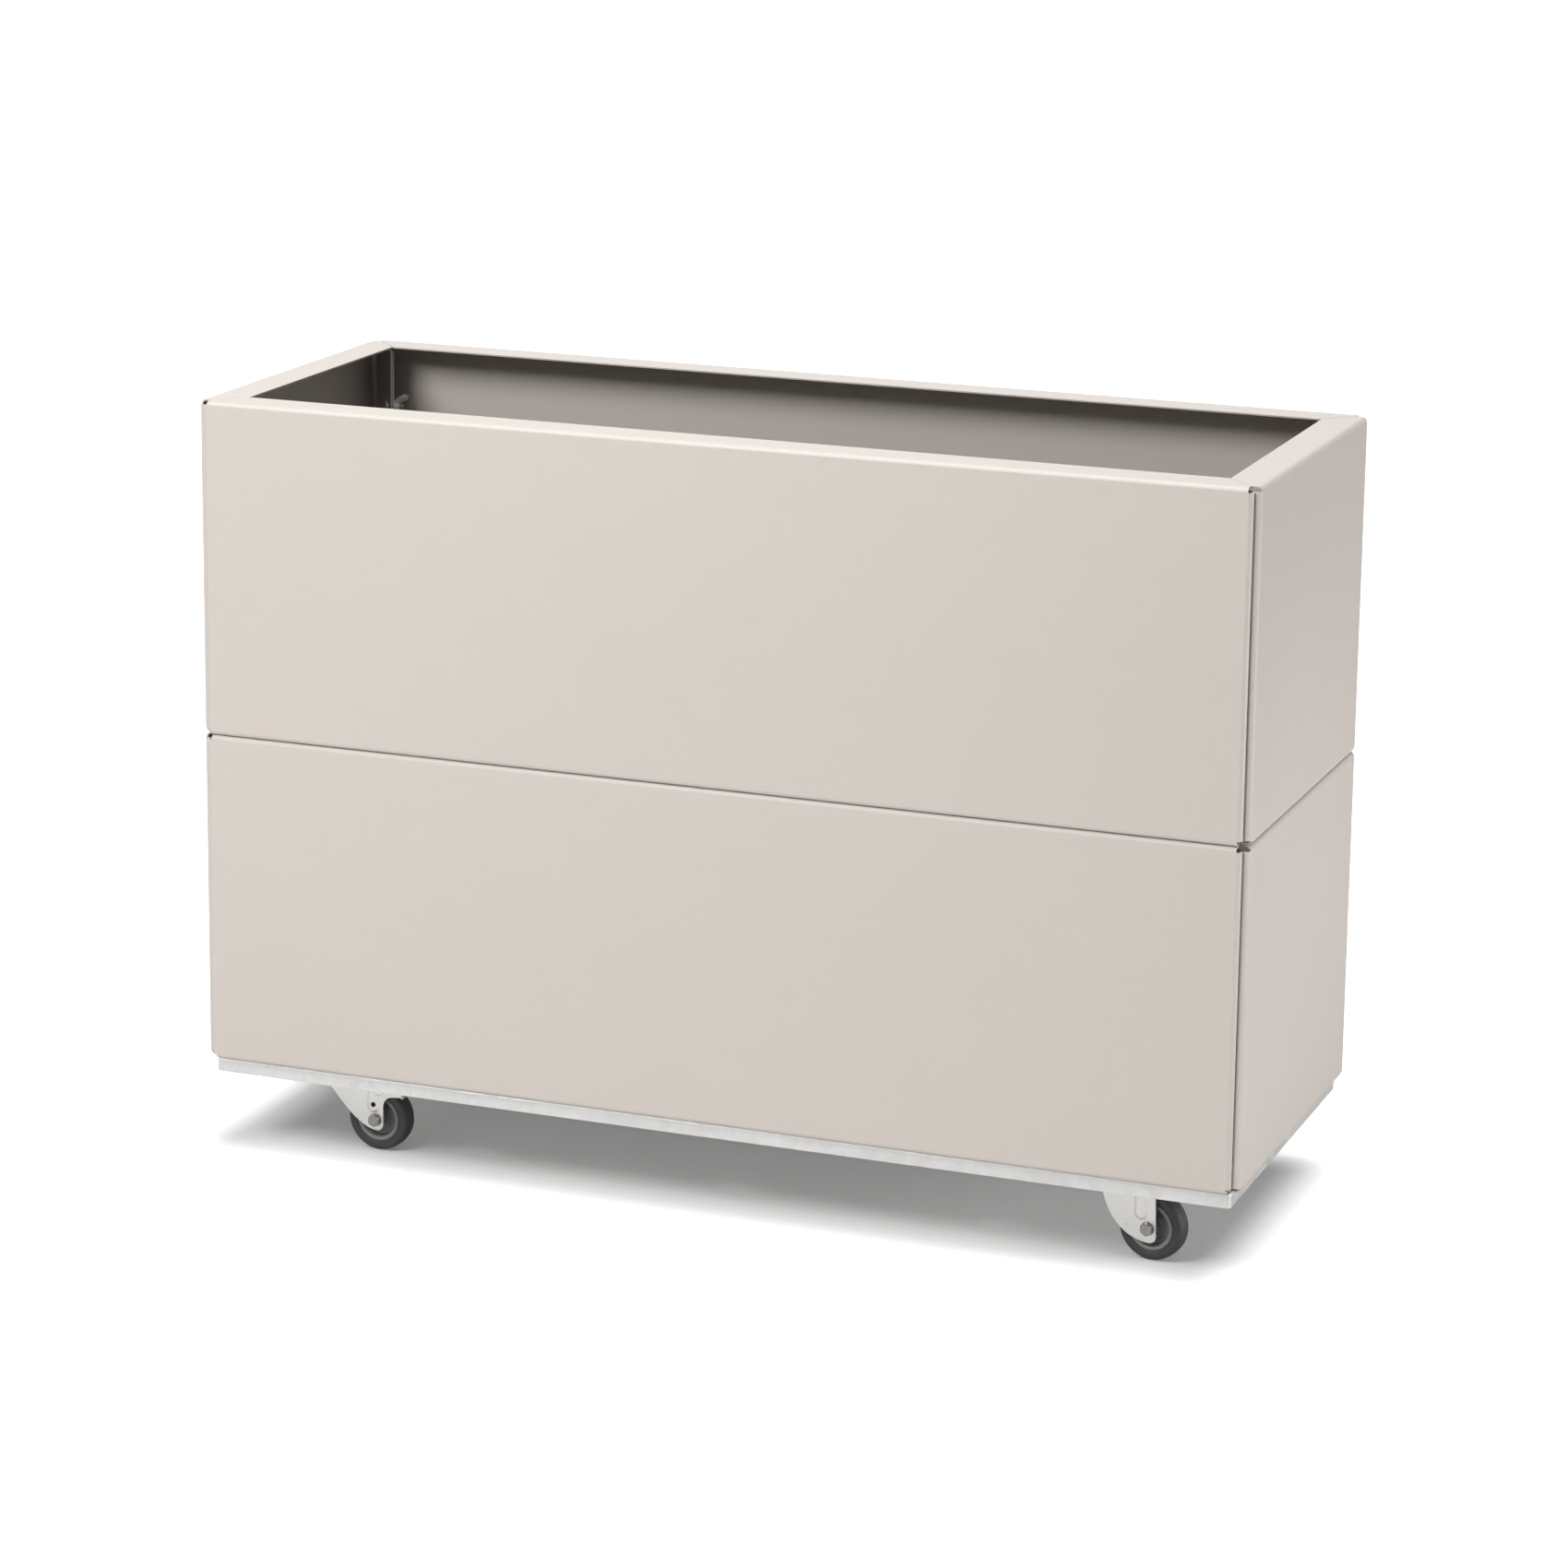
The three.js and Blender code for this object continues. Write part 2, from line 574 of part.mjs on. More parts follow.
function basePan() {
  const length = LENGTH - 2 * BASE_INSET;
  const width = WIDTH - 2 * BASE_INSET;
  const foot = LOWER_COLLAR_Z - BASE_DEPTH;
  const t = BASE_SHEET;
  let pan = roundedBlock(length, width, DECK_TOP, foot, BASE_BEND);
  pan = cut(pan, roundedBlock(length - 2 * t, width - 2 * t, DECK_BOTTOM, foot - PAST, INNER_BEND));
  const deckHole = (x, y, diameter, segments) =>
    hole(diameter, at(x, y, DECK_BOTTOM - PAST), at(x, y, DECK_TOP + PAST), segments);
  for (const x of seamBoltPlaces) {
    for (const side of [-1, 1]) {
      pan = cut(pan, deckHole(x, side * (WIDTH / 2 - SEAM_BOLT_INSET), SEAM_BOLT_HOLE, BOLT_ROUND));
    }
  }
  for (const column of [-1, 0, 1]) {
    for (const row of [-0.5, 0.5]) {
      const [x, y] = [column * DRAIN_SPACING_X, row * DRAIN_SPACING_Y];
      pan = cut(pan, deckHole(x, y, DRAIN_DIAMETER, SMALL_ROUND));
    }
  }
  for (const place of Object.values(castorPlaces)) {
    const [cx, cy] = castorCentre(place);
    for (const [x, y] of castorBoltPlaces()) {
      pan = cut(pan, deckHole(cx + x, cy + y, CASTOR_BOLT_DIAMETER + 2 * FIT_GAP, BOLT_ROUND));
    }
  }
  return piece("base_pan", pan, galvanised());
}

// A hat-section cross member under the deck, between the pan's lips.
function stiffener(name, x) {
  const top = DECK_BOTTOM - FIT_GAP;
  const bottom = top - STIFFENER_DEPTH;
  const t = STIFFENER_SHEET;
  const crown = STIFFENER_CROWN / 2;
  const foot = crown + STIFFENER_FLARE;
  const brim = foot + STIFFENER_BRIM;
  const shape = new THREE.Shape();
  shape.moveTo(-brim, top);
  shape.lineTo(-brim, top - t);
  shape.lineTo(-foot, top - t);
  shape.lineTo(-crown, bottom);
  shape.lineTo(crown, bottom);
  shape.lineTo(foot, top - t);
  shape.lineTo(brim, top - t);
  shape.lineTo(brim, top);
  shape.lineTo(foot - t, top);
  shape.lineTo(crown - t, bottom + t);
  shape.lineTo(t - crown, bottom + t);
  shape.lineTo(t - foot, top);
  const reach = WIDTH / 2 - BASE_INSET - BASE_SHEET - 2 * BASE_BEND;
  const mesh = piece(name, extrude(shape, "xz", -reach, reach), galvanised());
  mesh.position.x = x;
  return mesh;
}

// ---------------------------------------------------------------- castors
// A castor stands on the floor with its swivel axis on the Z axis and its wheel trailing along +X.

function castorCentre({ x, y }) {
  return [x * (LENGTH / 2 - CASTOR_FROM_END), y * (WIDTH / 2 - CASTOR_FROM_SIDE)];
}

function castorBoltPlaces() {
  const x = CASTOR_PLATE_LENGTH / 2 - CASTOR_BOLT_FROM_END;
  const y = CASTOR_PLATE_WIDTH / 2 - CASTOR_BOLT_FROM_SIDE;
  return [[x, y], [-x, y], [-x, -y], [x, -y]];
}

// Plate with the pressed-down upper race, the kingpin and the four bolts through the deck.
function castorPlate() {
  const outline = roundedRectangle(CASTOR_PLATE_LENGTH, CASTOR_PLATE_WIDTH, CASTOR_PLATE_CORNER);
  let body = extrude(outline, "xy", PLATE_BOTTOM, PLATE_TOP);
  const race = RACE_DIAMETER / 2;
  const [top, low] = [PLATE_BOTTOM + BITE, PLATE_BOTTOM - RACE_DEPTH];
  const crownUnder = FORK_TOP - FORK_SHEET - FIT_GAP;
  const pin = KINGPIN_DIAMETER / 2;
  const head = pin + KINGPIN_HEAD_BRIM;
  const headLow = crownUnder - KINGPIN_HEAD_HEIGHT;
  const raceAndKingpin = [
    [0, headLow],
    [DOME_FLAT * head, headLow],
    [head, crownUnder],
    [pin, crownUnder],
    [pin, low],
    [race - RACE_SLOPE, low],
    [race, top],
    [0, top],
  ];
  body = body.add(turn(raceAndKingpin, at(0, 0, 0), UP, RACE_ROUND));
  for (const [x, y] of castorBoltPlaces()) {
    body = body.add(castorBolt(x, y));
  }
  return body;
}

function castorBolt(x, y) {
  const headSeat = DECK_TOP + FIT_GAP;
  return boltWithNut({
    x,
    y,
    diameter: CASTOR_BOLT_DIAMETER,
    wall: CASTOR_NUT_WALL,
    headTop: headSeat + CASTOR_NUT_HEIGHT,
    headSeat,
    nutTop: PLATE_BOTTOM + BITE,
    nutBottom: PLATE_BOTTOM - CASTOR_NUT_HEIGHT,
  });
}

// Lower race of the swivel, seated on the fork under the plate's race.
function swivelBearing() {
  const race = RACE_DIAMETER / 2;
  const outer = race + BEARING_WALL;
  const bore = KINGPIN_DIAMETER / 2 + BEARING_BORE_GAP;
  const low = FORK_TOP + FIT_GAP;
  const profile = [
    [bore, low],
    [outer - BEARING_CHAMFER, low],
    [outer, BEARING_TOP + BEARING_LIP],
    [race + 3 * FIT_GAP, BEARING_TOP],
    [bore, BEARING_TOP],
  ];
  return turn(profile, at(0, 0, 0), UP, RACE_ROUND);
}

// Side outline of a plain fork's legs. Lengths here are from the axle.
function plainForkOutline() {
  const nose = -TRAIL - FORK_NOSE;
  const [right, low, top] = [FORK_BOSS_RIGHT, -FORK_BOSS_BOTTOM, FORK_CROWN];
  const shape = new THREE.Shape();
  shape.moveTo(nose + 2, top);
  shape.bezierCurveTo(nose + 2, 0.38 * top, 0.65 * nose, 0.85 * low, 0, low);
  shape.quadraticCurveTo(right, low, right, 0.25 * low);
  shape.lineTo(right - 2, top);
  return shape;
}

// Side outline of a braked fork's legs: a straighter front edge, and an arm that carries the pedal.
function brakedForkOutline() {
  const nose = -TRAIL - FORK_NOSE;
  const [right, low, top] = [FORK_BOSS_RIGHT, -BRAKED_BOSS_BOTTOM, FORK_CROWN];
  const arc = BRAKE_ARM_HOLLOW;
  const corner = 5;
  const shape = new THREE.Shape();
  shape.moveTo(nose, top);
  shape.lineTo(nose, 0.65 * top);
  shape.bezierCurveTo(0.7 * nose, 0.25 * top, 0.35 * nose, 0.8 * low, 0, low);
  shape.quadraticCurveTo(right, low, right, 0.15 * low);
  shape.lineTo(right, BRAKE_ARM_BOTTOM - arc);
  shape.absarc(right + arc, BRAKE_ARM_BOTTOM - arc, arc, Math.PI, Math.PI / 2, true);
  shape.lineTo(BRAKE_ARM_REACH, BRAKE_ARM_BOTTOM + 2);
  shape.lineTo(BRAKE_ARM_REACH, BRAKE_ARM_TOP - corner);
  shape.quadraticCurveTo(BRAKE_ARM_REACH, BRAKE_ARM_TOP, BRAKE_ARM_REACH - corner, BRAKE_ARM_TOP);
  shape.lineTo(right + 4, BRAKE_ARM_TOP);
  shape.lineTo(right - 2, top);
  return shape;
}

// A point beside the wheel, given from the axle, in the castor's frame.
const fromAxle = (x, z, y = 0) => at(TRAIL + x, y, WHEEL_RADIUS + z);

function crossHole(diameter, x, z) {
  const side = FORK_OUTER + PAST;
  return hole(diameter, fromAxle(x, z, -side), fromAxle(x, z, side));
}

// Pressed fork: a folded U of sheet, trimmed to its side outline, with a round seat for the bearing.
function fork(braked) {
  const outer = archSection(2 * FORK_OUTER, FORK_TOP, 0, FORK_BEND);
  const inner = archSection(2 * FORK_INNER, FORK_TOP - FORK_SHEET, -PAST, FORK_INNER_BEND);
  const [rear, front] = [TRAIL + BRAKE_ARM_REACH + PAST, -FORK_NOSE - PAST];
  const sheet = cut(extrude(outer, "yz", front, rear), extrude(inner, "yz", front - PAST, rear + PAST));
  const side = FORK_OUTER + PAST;
  const shape = braked ? brakedForkOutline() : plainForkOutline();
  const outline = extrude(shape, "xz", -side, side, OUTLINE_STEPS);
  let body = sheet.intersect(outline.translate([TRAIL, 0, WHEEL_RADIUS]));
  body = body.add(bearingSeat());
  const [crownUnder, crownTop] = [at(0, 0, FORK_TOP - FORK_SHEET - PAST), at(0, 0, FORK_TOP + PAST)];
  body = cut(body, hole(KINGPIN_DIAMETER + 2 * FIT_GAP, crownUnder, crownTop));
  body = cut(body, crossHole(AXLE_DIAMETER + 2 * FIT_GAP, 0, 0));
  const ahead = braked ? BRAKED_RIB_AHEAD : FORK_RIB_AHEAD;
  body = join(body, legRib(-1, ahead), legRib(1, ahead));
  if (!braked) return body;
  const pedalPinHole = crossHole(PEDAL_PIN_DIAMETER + 2 * FIT_GAP, ...PEDAL_PIN);
  return cut(body, pedalPinHole, crossHole(FORK_EYE_DIAMETER, ...FORK_EYE));
}

// Round seat in a fork's crown, under the swivel bearing and wider than the crown.
function bearingSeat() {
  const seat = RACE_DIAMETER / 2 + BEARING_WALL - BEARING_CHAMFER;
  const under = FORK_TOP - FORK_SHEET;
  const profile = [[0, under], [seat - BEARING_CHAMFER, under], [seat, FORK_TOP], [0, FORK_TOP]];
  return turn(profile, at(0, 0, 0), UP, RACE_ROUND);
}

// Swage pressed outwards in a fork's leg, round at its lower end.
function legRib(side, ahead) {
  const r = FORK_RIB_WIDTH / 2;
  const top = FORK_CROWN - FORK_RIB_TOP;
  const shape = new THREE.Shape();
  shape.moveTo(r, top);
  shape.lineTo(-r, top);
  shape.absarc(0, FORK_RIB_BOTTOM + r, r, Math.PI, 2 * Math.PI);
  const [near, far] = [FORK_OUTER - BITE, FORK_OUTER + FORK_RIB_HEIGHT];
  const rib = extrude(shape, "xz", side < 0 ? -far : near, side < 0 ? -near : far);
  return rib.translate([TRAIL - ahead, 0, WHEEL_RADIUS]);
}

// Axle bolt across the fork, with its head at the front and its nut at the back.
function axleBolt() {
  const seat = FORK_OUTER + FIT_GAP;
  const across = AXLE_DIAMETER + 2 * AXLE_NUT_WALL;
  const nutEnd = seat + AXLE_NUT_HEIGHT;
  return join(
    rod(AXLE_DIAMETER, fromAxle(0, 0, -seat - BITE), fromAxle(0, 0, nutEnd + AXLE_END)),
    hexagon(across, fromAxle(0, 0, -seat - AXLE_HEAD_HEIGHT), fromAxle(0, 0, -seat)),
    hexagon(across, fromAxle(0, 0, seat), fromAxle(0, 0, nutEnd)),
  );
}

// Profiles of the wheel are [radius, place along the axle].
function hub() {
  const bore = (AXLE_DIAMETER / 2 + FIT_GAP) * corners(HUB_ROUND);
  const boss = AXLE_DIAMETER / 2 + HUB_BOSS_WALL;
  const bossEnd = FORK_INNER - FIT_GAP;
  const rim = TYRE_BORE / 2 - FIT_GAP;
  const rimInner = rim - HUB_RIM_THICKNESS;
  const web = HUB_WEB / 2;
  const half = [
    [rim, HUB_RIM_HALF],
    [rimInner, HUB_RIM_HALF],
    [rimInner - HUB_RIM_DRAFT, web],
    [boss, web],
    [boss - HUB_BOSS_DRAFT, bossEnd],
    [bore, bossEnd],
  ];
  const mirrored = half.map(([r, y]) => [r, -y]).reverse();
  return turn([...half, ...mirrored], fromAxle(0, 0), at(0, 1, 0), HUB_ROUND);
}

function tyre() {
  const half = [];
  const [r, s, w] = [WHEEL_RADIUS, TYRE_SHOULDER, TYRE_WIDTH / 2];
  for (let i = 0; i < BEND_STEPS; i++) {
    const angle = (i / (BEND_STEPS - 1)) * (Math.PI / 2);
    half.push([(r - s + s * Math.cos(angle)) * corners(WHEEL_ROUND), w - s + s * Math.sin(angle)]);
  }
  half.push([(TYRE_BORE / 2) * corners(WHEEL_ROUND), HUB_RIM_HALF + TYRE_BEAD]);
  const mirrored = half.map(([radius, y]) => [radius, -y]).reverse();
  const phase = Math.PI / WHEEL_ROUND; // the wheel stands on a flat of its tread
  return turn([...mirrored, ...half], fromAxle(0, 0), at(0, 1, 0), WHEEL_ROUND, phase);
}

// Foot pedal of the brake: a shoe over the tread, a pivot pin in the fork and a tread plate.
function brakePedal() {
  const half = FORK_INNER - PEDAL_SIDE_GAP;
  const pinEnd = FORK_OUTER + PEDAL_PIN_END;
  const [x, z] = PEDAL_PIN;
  const top = z + PEDAL_RISE;
  const arm = extrude(pedalOutline(), "xz", -half, half);
  const tread = extrude(pedalTreadOutline(), "xy", top - PEDAL_THICKNESS + BITE, top - BITE);
  const pin = rod(PEDAL_PIN_DIAMETER, fromAxle(x, z, -pinEnd), fromAxle(x, z, pinEnd));
  return join(join(arm, tread).translate([TRAIL, 0, WHEEL_RADIUS]), pin);
}

// Side outline of the pedal, from its shoe over its pin to its down-turned foot end.
function pedalOutline() {
  const [pinX, pinZ] = PEDAL_PIN;
  const top = pinZ + PEDAL_RISE;
  const under = top - PEDAL_THICKNESS;
  const end = BRAKE_ARM_REACH + PEDAL_REACH;
  const eye = PEDAL_PIN_DIAMETER / 2 + PEDAL_EYE_WALL;
  const inner = WHEEL_RADIUS + SHOE_CLEARANCE;
  const outer = inner + SHOE_THICKNESS;
  const shoeTo = pedalPinAngle - THREE.MathUtils.degToRad(SHOE_BELOW_PIN);
  const shoeFrom = shoeTo - THREE.MathUtils.degToRad(SHOE_SWEEP);
  const shape = new THREE.Shape();
  shape.absarc(0, 0, inner, shoeTo, shoeFrom, true);
  shape.lineTo(outer * Math.cos(shoeFrom), outer * Math.sin(shoeFrom));
  shape.lineTo(pinX + 2 * eye, under);
  shape.lineTo(end - 2 * PEDAL_THICKNESS, under);
  shape.quadraticCurveTo(end, under, end, under - PEDAL_THICKNESS);
  shape.quadraticCurveTo(end + PEDAL_THICKNESS / 2, top, end - 2 * PEDAL_THICKNESS, top);
  shape.lineTo(pinX, top);
  shape.absarc(pinX, pinZ, eye, Math.PI / 2, Math.PI);
  return shape;
}

// Plan outline of the wider foot end.
function pedalTreadOutline() {
  const from = BRAKE_ARM_REACH + PEDAL_TREAD_GAP;
  const half = PEDAL_TREAD_WIDTH / 2;
  const r = PEDAL_TREAD_CORNER;
  const right = BRAKE_ARM_REACH + PEDAL_REACH - 2 * PEDAL_THICKNESS - r;
  const shape = new THREE.Shape();
  shape.moveTo(from, r - half);
  shape.lineTo(from + r, -half);
  shape.absarc(right, r - half, r, -Math.PI / 2, 0);
  shape.absarc(right, half - r, r, 0, Math.PI / 2);
  shape.lineTo(from + r, half);
  shape.lineTo(from, half - r);
  return shape;
}

function castor(name, place) {
  const group = new THREE.Group();
  group.position.set(...castorCentre(place), 0);
  group.add(piece(`castor_plate_${name}`, castorPlate(), zinc()));
  const swivelling = new THREE.Group();
  swivelling.rotation.z = THREE.MathUtils.degToRad(place.swivel);
  swivelling.add(piece(`swivel_bearing_${name}`, swivelBearing(), zinc()));
  swivelling.add(piece(`fork_${name}`, fork(place.braked), zinc()));
  swivelling.add(piece(`axle_bolt_${name}`, axleBolt(), zinc()));
  swivelling.add(piece(`wheel_hub_${name}`, hub(), plastic()));
  swivelling.add(piece(`tyre_${name}`, tyre(), rubber()));
  if (place.braked) {
    swivelling.add(piece(`brake_pedal_${name}`, brakePedal(), zinc()));
  }
  group.add(swivelling);
  return group;
}

// ---------------------------------------------------------------- assembly
const planter = new THREE.Group();
planter.add(collar("lower", LOWER_COLLAR_Z, BASE_SHEET, true));
planter.add(collar("upper", UPPER_COLLAR_Z, SHEET, false));
planter.add(basePan());
planter.add(stiffener("stiffener_left", -STIFFENER_AT));
planter.add(stiffener("stiffener_right", STIFFENER_AT));
for (const [name, place] of Object.entries(castorPlaces)) {
  planter.add(castor(name, place));
}

export default planter;
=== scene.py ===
# Rolling planter: two stacked collars of folded, powder-coated sheet steel on a galvanised base pan
# with four swivel castors. Metres, +Z up, origin on the floor under the middle of the planter.
import json
import math

import bmesh
import bpy
from mathutils import Matrix, Vector

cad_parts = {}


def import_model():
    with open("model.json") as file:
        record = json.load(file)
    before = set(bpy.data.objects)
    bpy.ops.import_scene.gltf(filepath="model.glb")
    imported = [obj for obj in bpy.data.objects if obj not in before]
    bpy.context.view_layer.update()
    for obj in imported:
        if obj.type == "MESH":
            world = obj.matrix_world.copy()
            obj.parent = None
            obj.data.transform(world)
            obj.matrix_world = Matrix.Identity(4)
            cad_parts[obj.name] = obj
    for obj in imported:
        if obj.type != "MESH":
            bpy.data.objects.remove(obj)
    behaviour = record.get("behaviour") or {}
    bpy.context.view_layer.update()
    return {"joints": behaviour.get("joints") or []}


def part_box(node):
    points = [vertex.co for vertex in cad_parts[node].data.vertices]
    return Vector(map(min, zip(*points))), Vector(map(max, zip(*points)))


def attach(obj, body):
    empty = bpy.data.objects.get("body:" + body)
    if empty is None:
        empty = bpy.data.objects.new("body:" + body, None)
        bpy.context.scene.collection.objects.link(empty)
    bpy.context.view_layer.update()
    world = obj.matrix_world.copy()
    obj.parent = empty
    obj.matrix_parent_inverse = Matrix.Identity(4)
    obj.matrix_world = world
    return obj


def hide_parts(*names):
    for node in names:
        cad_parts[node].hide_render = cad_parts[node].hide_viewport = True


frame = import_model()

MM = 0.001
X, Y, Z = Vector((1, 0, 0)), Vector((0, 1, 0)), Vector((0, 0, 1))

# ------------------------------------------------------------------ sizes from the frame
CORNERS = ("front_left", "front_right", "rear_left", "rear_right")
LEVELS = ("lower", "upper")
end_panel_box = {level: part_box(f"{level}_right_panel") for level in LEVELS}
LENGTH = 2 * end_panel_box["upper"][1].x
WIDTH = -2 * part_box("upper_front_panel")[0].y
pan_low, pan_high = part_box("base_pan")
joints = {joint["name"]: joint for joint in frame["joints"]}

# ------------------------------------------------------------------ sizes of the pieces
SHEET = 2 * MM
FOLD_RADIUS = 5.2 * MM  # outside a collar's folds
BASE_FOLD_RADIUS = 4 * MM
RIM_WIDTH = 43 * MM
MITRE_GAP = 1 * MM
FIT_GAP = 0.3 * MM
RELIEF_GAP = 3.5 * MM
CORNER_FLANGE_END = RIM_WIDTH - 1 * MM
CUT_EDGE_BEVEL = 0.35 * MM
FACE_INSET = 0.03 * MM  # keeps the corners of the bevels inside the frame's box
SHARP_FROM = math.radians(24)  # an edge that turns by more than this is shaded as a sharp one

CORNER_BOLT = 8 * MM
CORNER_BOLT_FROM_FLANGE_END = 17 * MM
CORNER_BOLT_FROM_COLLAR_END = 74 * MM
SEAM_BOLT = 6 * MM
SEAM_BOLT_AT = 320 * MM
SEAM_BOLT_INSET = 27 * MM
WING_TILTS = (62, 118, 50, 100)  # degrees

DRAIN_HOLE = 14 * MM
DRAIN_AT = (300 * MM, 110 * MM)
STIFFENER_CROWN = 32 * MM
STIFFENER_FLARE = 2 * MM
STIFFENER_BRIM = 12 * MM

PLATE_SIZE = (95 * MM, 67 * MM)
PLATE_THICKNESS = 3 * MM
PLATE_BOLT = 8 * MM
PLATE_BOLT_AT = (37.5 * MM, 22.5 * MM)
RACE = 44 * MM
RACE_DEPTH = 5 * MM
BEARING = 50 * MM
KINGPIN = 10 * MM

TRAIL = 36 * MM
FORK_SHEET = 2.5 * MM
FORK_OUTER = 16 * MM  # from the wheel's middle plane
FORK_INNER = FORK_OUTER - FORK_SHEET
FORK_TOP = 90 * MM
FORK_BEND = 5 * MM
FORK_NOSE = 22 * MM
RIB_AHEAD = 8 * MM  # middle of the leg's swage ahead of the axle
BRAKED_RIB_AHEAD = 2 * MM
RIB_ABOVE_AXLE = 9 * MM
EYE_ABOVE_AXLE = 18 * MM
AXLE = 8 * MM
WHEEL_RADIUS = joints["spin_front_left"]["pos_m"][2]
FORK_CROWN = FORK_TOP - WHEEL_RADIUS
TYRE_WIDTH = 22 * MM
TYRE_BORE = 52 * MM
HUB_WIDTH = 17 * MM
HUB_RING_BORE = 43.4 * MM
PEDAL_WIDTH = 22 * MM
SHOE_CLEARANCE = 3 * MM  # from the tread with the brake off
PLATE_UNDER = FORK_TOP + 12 * MM


# ------------------------------------------------------------------ outlines
def arc(centre, radius, start, end, steps):
    """Points of an arc, with its angles in degrees."""
    angles = [math.radians(start + (end - start) * i / steps) for i in range(steps + 1)]
    return [(centre[0] + radius * math.cos(a), centre[1] + radius * math.sin(a)) for a in angles]


def rounded(corners, closed=True, steps=6):
    """An outline with rounded corners. A corner is (x, y), or (x, y, radius) where it is rounded."""
    points = []
    count = len(corners)
    for i, corner in enumerate(corners):
        here = Vector(corner[:2])
        radius = corner[2] if len(corner) > 2 else 0
        if radius == 0 or (not closed and i in (0, count - 1)):
            points.append(tuple(here))
            continue
        back = (Vector(corners[i - 1][:2]) - here).normalized()
        ahead = (Vector(corners[(i + 1) % count][:2]) - here).normalized()
        half = back.angle(ahead) / 2
        reach = radius / math.tan(half)
        centre = here + (back + ahead).normalized() * (radius / math.sin(half))
        first, last = here + back * reach - centre, here + ahead * reach - centre
        turn = first.angle_signed(last)
        for k in range(steps + 1):
            a = -turn * k / steps
            points.append((
                centre.x + first.x * math.cos(a) - first.y * math.sin(a),
                centre.y + first.x * math.sin(a) + first.y * math.cos(a),
            ))
    return points


def bezier(p0, p1, p2, p3, steps=24):
    points = []
    for i in range(steps + 1):
        t = i / steps
        weights = ((1 - t) ** 3, 3 * t * (1 - t) ** 2, 3 * t * t * (1 - t), t ** 3)
        points.append(tuple(sum(w * p[k] for w, p in zip(weights, (p0, p1, p2, p3))) for k in (0, 1)))
    return points


def value_at(curve, z):
    """The x of a curve, a list of (x, z) with z rising, at the given z."""
    for (x0, z0), (x1, z1) in zip(curve, curve[1:]):
        if z <= z1:
            share = 0 if z1 == z0 else min(max((z - z0) / (z1 - z0), 0), 1)
            return x0 + (x1 - x0) * share
    return curve[-1][0]


# ------------------------------------------------------------------ meshes
def object_from(bm, name):
    mesh = bpy.data.meshes.new(name)
    bm.to_mesh(mesh)
    bm.free()
    obj = bpy.data.objects.new(name, mesh)
    bpy.context.scene.collection.objects.link(obj)
    return obj


def add_grid(bm, rows, closed=False):
    """Quads between rows of points. The columns of a closed grid meet round the back."""
    grid = [[bm.verts.new(point) for point in row] for row in rows]
    columns = len(grid[0])
    for low, high in zip(grid, grid[1:]):
        for i in range(columns if closed else columns - 1):
            j = (i + 1) % columns
            bm.faces.new((low[i], low[j], high[j], high[i]))
    return grid


def modify(obj, kind, **settings):
    modifier = obj.modifiers.new(kind.lower(), kind)
    for key, value in settings.items():
        setattr(modifier, key, value)
    return modifier


def soften(obj, width, angle=40, segments=2):
    """Rounds the sharp edges and keeps the large faces flat."""
    if width:
        modify(obj, "BEVEL", width=width, segments=segments, limit_method="ANGLE",
               angle_limit=math.radians(angle), harden_normals=False)
    for polygon in obj.data.polygons:
        polygon.use_smooth = True
    modify(obj, "WEIGHTED_NORMAL", keep_sharp=True, weight=100)
    return obj


def settled(obj):
    """The object with its modifiers made part of its mesh."""
    depsgraph = bpy.context.evaluated_depsgraph_get()
    mesh = bpy.data.meshes.new_from_object(obj.evaluated_get(depsgraph), depsgraph=depsgraph)
    obj.modifiers.clear()
    obj.data = mesh
    return obj


def recalculated(bm):
    bmesh.ops.remove_doubles(bm, verts=bm.verts, dist=1e-6)
    bmesh.ops.recalc_face_normals(bm, faces=bm.faces)
    return bm


def sheet_thickness(obj, thickness):
    """Gives a surface its wall, behind its faces."""
    modify(obj, "SOLIDIFY", thickness=thickness, offset=-1, use_even_offset=True)
    return obj


def prism(name, outline, axes, low, high):
    """An outline in the plane of the first two axes, given thickness along the third."""
    u, v, w = axes
    bm = bmesh.new()
    rings = [[bm.verts.new(u * x + v * y + w * h) for x, y in outline] for h in (low, high)]
    count = len(outline)
    for i in range(count):
        j = (i + 1) % count
        bm.faces.new((rings[0][i], rings[0][j], rings[1][j], rings[1][i]))
    bm.faces.new(list(reversed(rings[0])))
    bm.faces.new(rings[1])
    return object_from(recalculated(bm), name)


def turned(name, profile, segments=64, across=None):
    """A closed profile of (radius, height) turned round Z. Where `across` is given, no point is
    further out than the flats of a hexagon of that size."""
    bm = bmesh.new()
    rings = []
    for radius, height in profile:
        if radius < 1e-7:
            rings.append([bm.verts.new((0, 0, height))])
            continue
        ring = []
        for i in range(segments):
            a = 2 * math.pi * i / segments
            r = radius
            if across:
                from_flat = (a + math.pi / 6) % (math.pi / 3) - math.pi / 6
                r = min(radius, across / 2 / math.cos(from_flat))
            ring.append(bm.verts.new((r * math.cos(a), r * math.sin(a), height)))
        rings.append(ring)
    ends_on_axis = len(rings[0]) == 1 and len(rings[-1]) == 1
    pairs = list(zip(rings, rings[1:])) + ([] if ends_on_axis else [(rings[-1], rings[0])])
    for a, b in pairs:
        for i in range(segments):
            j = (i + 1) % segments
            corners = [a[i % len(a)], a[j % len(a)], b[j % len(b)], b[i % len(b)]]
            unique = [v for k, v in enumerate(corners) if v not in corners[:k]]
            if len(unique) > 2:
                bm.faces.new(unique)
    return object_from(recalculated(bm), name)


